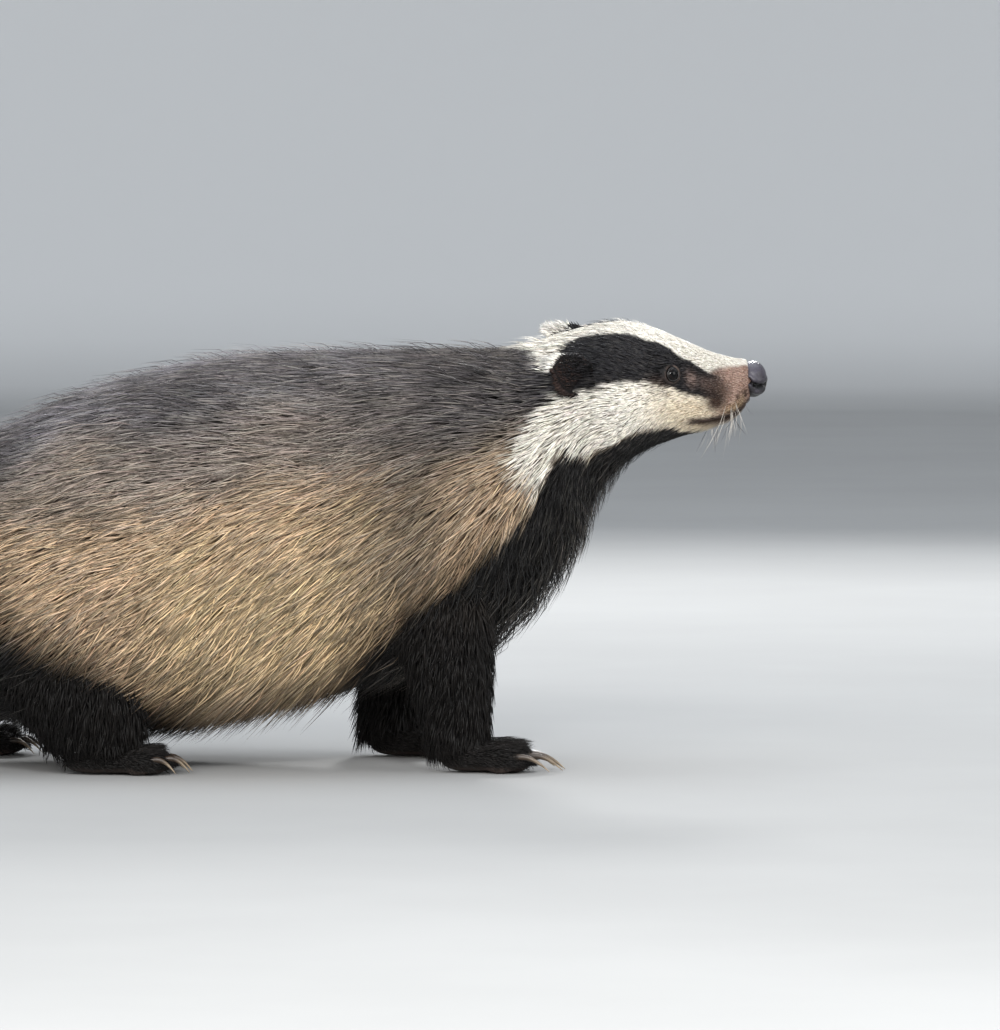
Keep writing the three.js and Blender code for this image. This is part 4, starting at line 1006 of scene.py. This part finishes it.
def coat_piece(name, slot, stations, outs, widths, colours, on_map, plump=0.7):
    """Tufts as closed slivers: a flat three-cornered section carried through each tuft's stations to a point.
    Each tuft's faces share a patch of the map OFBake at its root's place, across and along the tuft."""
    count, steps = stations.shape[:2]
    shares = {3: (0.75, 1.0), 4: (0.7, 1.0, 0.75)}[steps]
    ahead = unit(np.gradient(stations, axis=1))
    aside = unit(np.cross(ahead, outs[:, None]))
    above = np.cross(aside, ahead)
    rings = []
    for k, share in enumerate(shares):
        half = (widths * share / 2)[:, None]
        at = stations[:, k]
        rings += [at + aside[:, k] * half, at - aside[:, k] * half, at + above[:, k] * half * plump]
    verts = np.stack(rings + [stations[:, -1]], axis=1)
    corners = verts.shape[1]
    faces, patch = tuft_faces(steps)
    first = verts[0][faces] - verts[0].mean(0)
    if np.sum(first[:, 0] * np.cross(first[:, 1], first[:, 2])) < 0:
        faces, patch = faces[:, ::-1], patch.reshape(-1, 3, 2)[:, ::-1].reshape(-1, 2)
    tones = np.concatenate([np.repeat(colours[:, :-1], 3, axis=1), colours[:, -1:]], axis=1)
    limit = MOST_TRIANGLES // len(faces)
    for n, start in enumerate(range(0, count, limit)):
        part = slice(start, min(start + limit, count))
        size = part.stop - part.start
        tris = (faces[None] + (np.arange(size) * corners)[:, None, None]).reshape(-1, 3)
        piece = mesh_piece(f"{name}_{n + 1}", verts[part].reshape(-1, 3), tris, COAT)
        give_tone(piece, tones[part].reshape(-1, 3))
        uv = (on_map[part][:, None] + (patch[None] - 0.5) * PATCH).clip(0, 1)
        piece.data.uv_layers.new(name="OFBake").uv.foreach_set("vector", uv.astype(np.float32).ravel())


def vary(colours, points, clump, tuft):
    """Colours multiplied by a share that differs from clump to clump and tuft to tuft, and a little in tint."""
    share = 1 + np.ravel(clump) * noise(points, 16.0, 21) + tuft * RNG.standard_normal(len(points))
    tint = 1 + 0.018 * RNG.standard_normal((len(points), 1, 3))
    return colours * np.clip(share, 0.35, 1.9)[:, None, None] * tint


def trunk_coat():
    """The long coat of the body and neck and the short coat of the head, rooted in the skin, lying along it."""

    def long_hair(u, side):
        """Tufts of the body and neck to the square centimetre."""
        full = np.clip(smooth(side, -85, -55) + smooth(u, 8, 9.5), 0, 1)
        return 24.0 * mix(1.0, 1.35, smooth(u, 11.0, 12.5)) * mix(0.45, 1, full)

    u, angle = sampled_trunk(0.1, 12.6, long_hair)
    side = side_angle(angle)
    roots = skin(u, angle)
    hem = bell(side, -48, 20) * band(u, 0.8, 2.5, 8.5, 10)
    length = mix(38, 44, smooth(-side, -20, 40)) + 10 * hem
    length = mix(length, 24, smooth(u, 10.2, 12.6)) * uneven(len(u), 0.75, 0.5)
    strand_coat("coat_body", "body_coat", u, angle, roots, length, 0.95, 0.42, hem)

    def short_hair(u, side):
        """Tufts of the head to the square centimetre."""
        return mix(37, 90, smooth(u, 13.0, 15.0)) * mix(1, 1.9, smooth(u, 16.5, 18.5))

    u, angle = sampled_trunk(12.4, 20.55, short_hair)
    side = side_angle(angle)
    roots = skin(u, angle)
    keep = np.ones(len(u), bool)
    for eye_side in (-1, 1):
        _, _, height, almond = eye_view(eye_side, roots)
        keep &= ~((almond < 1.3) & (height > -4))
    pad = with_head(roots - np.array(NOSE["centre"]), -HEAD_ROLL) / NOSE["clear"]
    keep &= np.linalg.norm(pad, axis=-1) > 1.02
    u, angle, roots, side = u[keep], angle[keep], roots[keep], side[keep]
    roots = roots + outline_normal(u, angle) * head_detail(u, angle, roots)[:, None]
    jaw = bell(side, -60, 22) * band(u, 17.0, 18.2, 19.8, 20.3)
    length = mix(mix(20, 11.5, smooth(u, 12.4, 14.8)), 3.2, smooth(u, 15.9, 18.4)) + 6 * jaw
    length = length * uneven(len(u))
    strand_coat("coat_head", "face_coat", u, angle, roots, length, 0.74, 0.2, 0.8 * jaw, fine=True)


def strand_coat(name, slot, u, angle, roots, length, width, pull, droop, fine=False):
    """Tufts whose middle and tip are found by steps along the lie on the skin. Their height rises to the outline
    at the tip, neighbours draw together by the pull, and droop lets the tips fall."""
    side = side_angle(angle)
    count = len(u)
    way = lie(u, side)
    swirl = np.stack([noise(roots, 42.0, k) for k in (31, 32, 33)], -1)
    way = way + (0.12 if fine else 0.2) * swirl + (0.06 if fine else 0.15) * RNG.standard_normal((count, 3))
    mid = step_along(u, angle, way, length * 0.5)
    tip = step_along(*mid, way, length * 0.5)
    depth = skin_depth(u)
    chest = band(u, 8.8, 10.2, 13.5, 15.5) * (1 - smooth(side, -50, -15))
    stray = (RNG.random(count) < mix(0.06, 0.3, chest)) * RNG.random(count) * (1 - smooth(u, 15.5, 17))
    even = uneven(count, 0.72, 0.4)
    rise = depth * (mix(even, 0.85, 0.7 * smooth(u, 12, 14)) + 0.6 * stray) * mix(1, 0.85, smooth(u, 12, 14))
    rise = rise + mix(0.12, 0.4, chest) * length * stray
    out = outline_normal(u, angle)
    start = roots - out * 0.8
    middle = skin(*mid, 0.78 * rise)
    end = skin(*tip, rise)
    if fine:
        bend = roots - skin(u, angle)
        middle, end = middle + bend * 0.8, end + bend * 0.5
    gather = clump_pull(roots, 6.0 if fine else 11.0, 51)
    lay = unit(end - start)
    gather = gather - dot(gather, out) * out
    gather = gather - dot(gather, lay) * lay
    end = end + gather * (pull * RNG.random(count) ** 0.5)[:, None]
    middle = middle + gather * 0.35 * pull
    fall = (droop * length * 0.32)[:, None] * np.array([0.1, 0, -1.0])
    middle, end = middle + 0.4 * fall, end + fall
    shown = [mix(a, b, 0.6) for a, b in zip(mid, tip)]
    root, belt, point, differ = marking(*shown, skin(*shown))
    draw = (RNG.random(count) + 0.22 * noise(roots, 13.0, 22))[:, None]
    pale = (draw < 0.24) * np.minimum(differ, 1)
    point = mix(point, linear(238, 230, 218), 0.55 * pale)
    dark = (draw > 0.74) * np.minimum(differ, 1)
    belt, point = belt * (1 - 0.5 * dark), point * (1 - 0.62 * dark)
    # Painted rim light: paler tips on some of the chest hairs and on the strays that stand out from the chest.
    chest_rim_light = chest * (1 - smooth(u, 12.5, 14)) * (RNG.random(count) < 0.3)
    point = mix(point, linear(176, 168, 158), np.clip(0.6 * chest_rim_light + 0.5 * chest * stray, 0, 1)[:, None])
    # Painted shade: the roots are dimmed, by a fifth on the body and by a twentieth on the head.
    painted_root_shade = mix(0.8, 0.95, smooth(u, 12, 14))[:, None]
    colours = vary(np.stack([root * painted_root_shade, belt, point], 1), roots, 0.10 * differ, 0.08 if fine else 0.14)
    wide = width * uneven(count)
    if fine:
        wide = wide * mix(1.25, 0.62, smooth(u, 13.5, 18.5))
    tufts = np.stack([start, middle, end], 1), out, wide, colours, trunk_map(u, angle)
    order = np.argsort(u)
    coat_piece(name, slot, *[part[order] for part in tufts], 0.35 if fine else 0.6)


def limb_coat(parts):
    """Short black hair on the legs and paws, lying down the leg and forward over the toes."""
    stations, outs, widths, colours, on_map = [], [], [], [], []
    for n, ((side, sections, paw), (verts, tris)) in enumerate(zip(LEGS.values(), parts)):

        def thick(at, normal):
            """Tufts to the square centimetre: none under the sole or inside the trunk."""
            bare = smooth(at[:, 2], 5, 12) + smooth(normal[:, 2], -0.5, 0.1) * smooth(at[:, 2], 2, 5)
            return mix(58, 20, smooth(at[:, 2], 14, 40)) * np.clip(bare, 0, 1) * ~inside_trunk(at)

        roots, out = sampled_faces(verts, tris, thick)
        count = len(roots)
        foot = 1 - smooth(roots[:, 2], 14, 32)
        way = np.stack([0.1 * mix(-1.6, 1, foot) + 0.9 * foot, 0 * foot, -mix(1, 0.3, foot)], -1)
        swirl = np.stack([noise(roots, 24.0, k) for k in (41, 42, 43)], -1)
        way = way + 0.16 * RNG.standard_normal((count, 3)) + 0.15 * swirl
        way = unit(way - dot(way, out) * out)
        back = smooth(-out[:, 0], 0.2, 0.9) * (1 - foot)
        length = mix(mix(20, 27, back), 6.5, foot) * uneven(count)
        lift = mix(0.22, 0.3, foot) * uneven(count, 0.6, 0.7)
        end = roots + way * length[:, None] + out * (length * lift)[:, None]
        end[:, 2] = np.maximum(end[:, 2], 0.6)
        middle = roots + way * (length * 0.48)[:, None] + out * (length * lift * 0.62)[:, None]
        middle[:, 2] = np.maximum(middle[:, 2], 0.8)
        stations.append(np.stack([roots - out * 0.6, middle, end], 1))
        outs.append(out)
        widths.append(mix(1.35, 0.72, foot) * uneven(count))
        brown = (smooth(roots[:, 2], 90, 150) * 0.35)[:, None, None] * np.array([0.02, 0.014, 0.009])
        colours.append(vary(tripled(BLACK_LEG, count) + brown, roots, 0.25, 0.25))
        ahead = roots[:, 0] - np.interp(roots[:, 2], *leg_line(sections))
        turn = np.arctan2(roots[:, 1] - side * paw["heel"][1], ahead)
        place = 0.65 + 0.07 * n + 0.062 * (turn / (2 * np.pi) + 0.5)
        on_map.append(np.stack([place, 0.01 + roots[:, 2] / 160], -1))
    joined = [np.concatenate(part) for part in (stations, outs, widths, colours, on_map)]
    coat_piece("coat_legs", "black_coat", *joined)


def leg_line(sections):
    """Heights of a leg's sections and the x of their middles, from the floor up."""
    return [s[2] for s in reversed(sections)], [s[0] for s in reversed(sections)]


def inside_trunk(points):
    """True where a point is well inside the trunk: by its superellipse at the section with that x."""
    middles = mix(FIELDS[2], FIELDS[0], FIELDS[5])
    u = np.interp(points[:, 0], middles, np.arange(LAST + 1))
    top, low, half, level = [along(FIELDS[k], u) for k in (1, 3, 4, 5)]
    mid = mix(low, top, level)
    reach = np.where(points[:, 2] > mid, top - mid, mid - low)
    shape = np.abs(points[:, 1] / half) ** SECTION_POWER + np.abs((points[:, 2] - mid) / reach) ** SECTION_POWER
    return shape < 0.72


def tail_coat():
    """Long pale hair along the tail, its tips closing past its end."""
    count, depth, last = int(5200 * DENSITY), TAIL["coat"], 0.98
    t, angle = RNG.random(count) ** 0.85 * 0.97, RNG.random(count) * 2 * np.pi
    stride = 46 * uneven(count) / 155
    root = tail_point(t, angle, depth)
    out = unit(root - tail_line(t)[0])
    middle = tail_point(np.minimum(t + stride * 0.5, 1), angle, depth - 6.0 * uneven(count, 0.7, 0.5))
    end = np.minimum(t + stride, last)
    tip = tail_point(end, angle, depth - 9.5 * uneven(count, 0.7, 0.5))
    past = np.maximum(t + stride - last, 0)
    tip = tip + tail_line(end)[1] * (past * 60)[:, None] + 2.5 * RNG.standard_normal((count, 3))
    tone = tripled((linear(96, 82, 66), linear(150, 134, 112), linear(206, 194, 172)), count)
    colours = vary(tone, root, 0.2, 0.2)
    on_map = np.stack([0.95 + 0.045 * angle / (2 * np.pi), 0.01 + 0.97 * t], -1)
    stations = np.stack([root - out, middle, tip], 1)
    coat_piece("coat_tail", "body_coat", stations, out, 1.4 * uneven(count), colours, on_map)


# Hair of an ear: kind, whether it grows on the ear's front, tufts, how far it stands up, and its length.
EAR_HAIR = [
    ("back", False, 1300, 0.25, 7.0),
    ("inside", True, 1500, 0.3, 7.5),
    ("rim", False, 650, 0.12, 9.0),
    ("rim", True, 350, 0.12, 9.0),
    ("fringe", True, 350, 0.3, 9.5),
]
EAR_BLACK = (10, 9, 10), (19, 18, 20), (40, 38, 41)
EAR_BROWN = (20, 13, 12), (42, 28, 24), (72, 52, 43)
EAR_WHITE = (170, 162, 150), (232, 229, 221), (244, 242, 237)


def ear_coat():
    """Hair on each ear: short over its back and inside, black where it meets the eye stripe and red brown behind
    it, longer white hair along its upper rim, and a fringe before the ear that lies back over its edge."""
    stations, outs, widths, colours, on_map = [], [], [], [], []
    for side in (-1, 1):
        _, stem, face, across = ear_frame(side)
        for kind, front, number, rise, reach in EAR_HAIR:
            rim, fringe, inside = kind == "rim", kind == "fringe", kind == "inside"
            count = int(number * DENSITY)
            t = 0.12 + 0.84 * RNG.random(count)
            share = np.clip(2 * RNG.random(count) - 1, -0.93, 0.93)
            if rim:
                theta = mix(0.62, 1.9, RNG.random(count))
                t = 0.30 + 0.66 * np.sin(theta) ** 0.6 + 0.03 * RNG.standard_normal(count)
                share = np.clip(-side * np.cos(theta) * 0.97, -0.97, 0.97)
            if fringe:
                share, t = -side * (0.99 - 0.3 * RNG.random(count) ** 2), 0.5 * t
            t = np.clip(t, 0.05, 0.985)
            root = ear_point(side, t, share, front)
            out = unit((face if front else -face) + 0.5 * across * share[:, None] + 0.4 * stem * rim)
            fan = across * (0.4 * share)[:, None] * (not fringe)
            way = unit(0.7 * stem + np.array([-0.7, 0, 0]) + fan + 0.24 * RNG.standard_normal((count, 3)))
            sweep = np.array([-0.5, 0, 0.05]) - 0.5 * side * across * (side > 0)
            way = unit(way + out * rise + rim * sweep)
            length = reach * uneven(count, 0.55, 0.8)
            if kind in ("back", "inside"):
                length = length * mix(1, 0.5, smooth(t, 0.6, 0.85))
            end = root + way * length[:, None] - np.array([0, 0, 0.8]) * (length / 8)[:, None]
            middle = root + way * (0.5 * length)[:, None] + out * 0.6
            stations.append(np.stack([root - out * 0.4, middle, end], 1))
            outs.append(out)
            widths.append(0.95 * uneven(count))
            forward = -side * share + 0.5 * RNG.standard_normal(count) * inside
            red = (1 - smooth(forward, -0.35, 0.45)) * inside * uneven(count, 0.55, 0.45)
            pairs = zip(EAR_BLACK, EAR_BROWN)
            tone = np.stack([mix(linear(*black), linear(*brown), red[:, None]) for black, brown in pairs], 1)
            if rim:
                tone = tripled([linear(*colour) for colour in EAR_WHITE], count)
            colours.append(vary(tone, root, 0.15, 0.2))
            place = 0.1 * (share + 1) + (0.33 if front else 0.03)
            on_map.append(np.stack([place, (0.30 if side < 0 else 0.62) + 0.25 * t], -1))
    joined = [np.concatenate(part) for part in (stations, outs, widths, colours, on_map)]
    coat_piece("coat_ears", "black_coat", *joined)


# Whiskers on each side: how many, and from where to where along the trunk, up its side and in length.
WHISKERS = [(15, (18.3, 19.9), (-40, -10), (14, 34)), (13, (17.8, 19.9), (-85, -58), (9, 20))]


def whiskers():
    """Long thin bristles from the lips and chin, some dark and some white, curving back and down."""
    rows = []
    for side in (-1, 1):
        for number, places, angles, lengths in WHISKERS:
            for _ in range(number):
                rows.append((RNG.uniform(*places), facing(RNG.uniform(*angles), side), RNG.uniform(*lengths)))
    u, angle, length = np.array(rows).T
    root, out = skin(u, angle), outline_normal(u, angle)
    way = unit(out * 0.7 + np.array([-0.3, 0, -0.6]) + 0.15 * RNG.standard_normal((len(u), 3)))
    t = np.array([0, 0.35, 0.7, 1.0])
    bow = np.array([-0.3, 0, -0.2]) + 0.35 * RNG.standard_normal((len(u), 1, 3))
    line = root[:, None] + way[:, None] * (length[:, None] * t)[..., None]
    stations = line + bow * (length[:, None] * t * t * 0.7)[..., None]
    dark = RNG.random(len(u)) < 0.25
    tone = np.where(dark[:, None], linear(30, 26, 24), linear(214, 208, 198))
    colours = np.repeat(tone[:, None], 4, axis=1)
    coat_piece("whiskers", "face_coat", stations, out, np.full(len(u), 0.34), colours, trunk_map(u, angle))


# The width of the view at the animal, the point that the camera looks at, how far it stands off and how far down
# it looks, in metres and radians.
PHOTO_WIDTH = 0.714
AIM = (0.16, -0.05, 0.182)
DISTANCE = 6.0
LOOK_DOWN = math.radians(3)
# The floor's flat reach, the radius of its bend into the wall and the wall's height, in millimetres.
FLOOR_REACH, WALL_BEND, WALL_HEIGHT = 6500, 2500, 4500


def build_stage():
    """A pale floor that curves up into a wall all round, soft light, and a long lens level with the flank."""
    paper = Finish("pale studio paper", Roughness=0.9)
    mottle = paper.grain(1.6, 4.0)
    away = paper.node("ShaderNodeVectorMath", {"operation": "LENGTH"}, {0: paper.place()}, out=1)
    near = paper.blend(mottle.ramp(0.3, 0.7), linear(152, 152, 151), linear(157, 157, 156))
    paper.give(Base_Color=paper.blend(away.ramp(6.3, 7.4), near, linear(214, 214, 213)))
    turn = np.radians(np.linspace(0, 90, 13))
    reach = np.concatenate([[600, 2000, 4000], FLOOR_REACH + WALL_BEND * np.sin(turn), [FLOOR_REACH + WALL_BEND]])
    height = np.concatenate([[0, 0, 0], WALL_BEND * (1 - np.cos(turn)), [WALL_HEIGHT]])
    a = np.linspace(0, 2 * np.pi, 96, endpoint=False)
    reach, height = reach[:, None], height[:, None] - 0.2
    rings = np.stack([reach * np.cos(a), reach * np.sin(a), height + 0 * a], -1)
    verts, tris = tube(rings)
    keep = ~np.any(tris == len(verts) - 1, axis=1)
    mesh = bpy.data.meshes.new("floor")
    mesh.from_pydata((verts / 1000).tolist(), [], tris[keep][:, ::-1].tolist())
    mesh.shade_smooth()
    mesh.materials.append(paper.material)
    floor = bpy.data.objects.new("floor", mesh)
    bpy.context.scene.collection.objects.link(floor)

    world = bpy.data.worlds.new("studio")
    world.use_nodes = True
    sky = world.node_tree.nodes["Background"].inputs
    sky["Color"].default_value = (0.86, 0.92, 1.0, 1)
    sky["Strength"].default_value = 0.85
    bpy.context.scene.world = world
    bpy.context.scene.view_settings.view_transform = "Standard"
    for name, place, size, power, colour in (
        ("front", (-1.4, -3.9, 1.7), 2.6, 138, (1.0, 0.965, 0.92)),
        ("above", (0.2, 0.7, 3.1), 2.6, 44, (0.88, 0.94, 1.0)),
        ("side", (3.2, -1.6, 1.5), 1.8, 36, (1.0, 0.98, 0.95)),
        ("glint right", (0.42, -2.5, 1.4), 0.42, 40, (1.0, 1.0, 1.0)),
        ("glint left", (0.42, 2.5, 1.4), 0.42, 40, (1.0, 1.0, 1.0)),
    ):
        light = bpy.data.lights.new(name, "AREA")
        light.size, light.energy, light.color = size, power, colour
        lamp = bpy.data.objects.new(name, light)
        bpy.context.scene.collection.objects.link(lamp)
        lamp.matrix_world = looking(place, (0.0, 0.0, 0.15))

    lens = bpy.data.cameras.new("camera")
    lens.sensor_fit, lens.sensor_width = "HORIZONTAL", 36
    lens.lens = lens.sensor_width * DISTANCE / PHOTO_WIDTH
    lens.clip_end = 60
    camera = bpy.data.objects.new("camera", lens)
    bpy.context.scene.collection.objects.link(camera)
    away = np.array([0, -math.cos(LOOK_DOWN), math.sin(LOOK_DOWN)]) * DISTANCE
    camera.matrix_world = looking(tuple(np.array(AIM) + away), AIM)
    bpy.context.scene.camera = camera


def looking(place, target):
    """The matrix of a lamp or camera at place whose -Z looks at the target, with its top towards +Z."""
    back = unit(np.array(place, float) - np.array(target, float))
    right = unit(np.cross((0.0, 0.0, 1.0), back))
    up = np.cross(back, right)
    return Matrix([(*row, p) for row, p in zip(np.stack([right, up, back], 1), place)] + [(0, 0, 0, 1)])


leg_skins = build_skin()
build_eyes()
build_lids()
build_nose()
build_claws()
trunk_coat()
limb_coat(leg_skins)
tail_coat()
ear_coat()
whiskers()
build_stage()
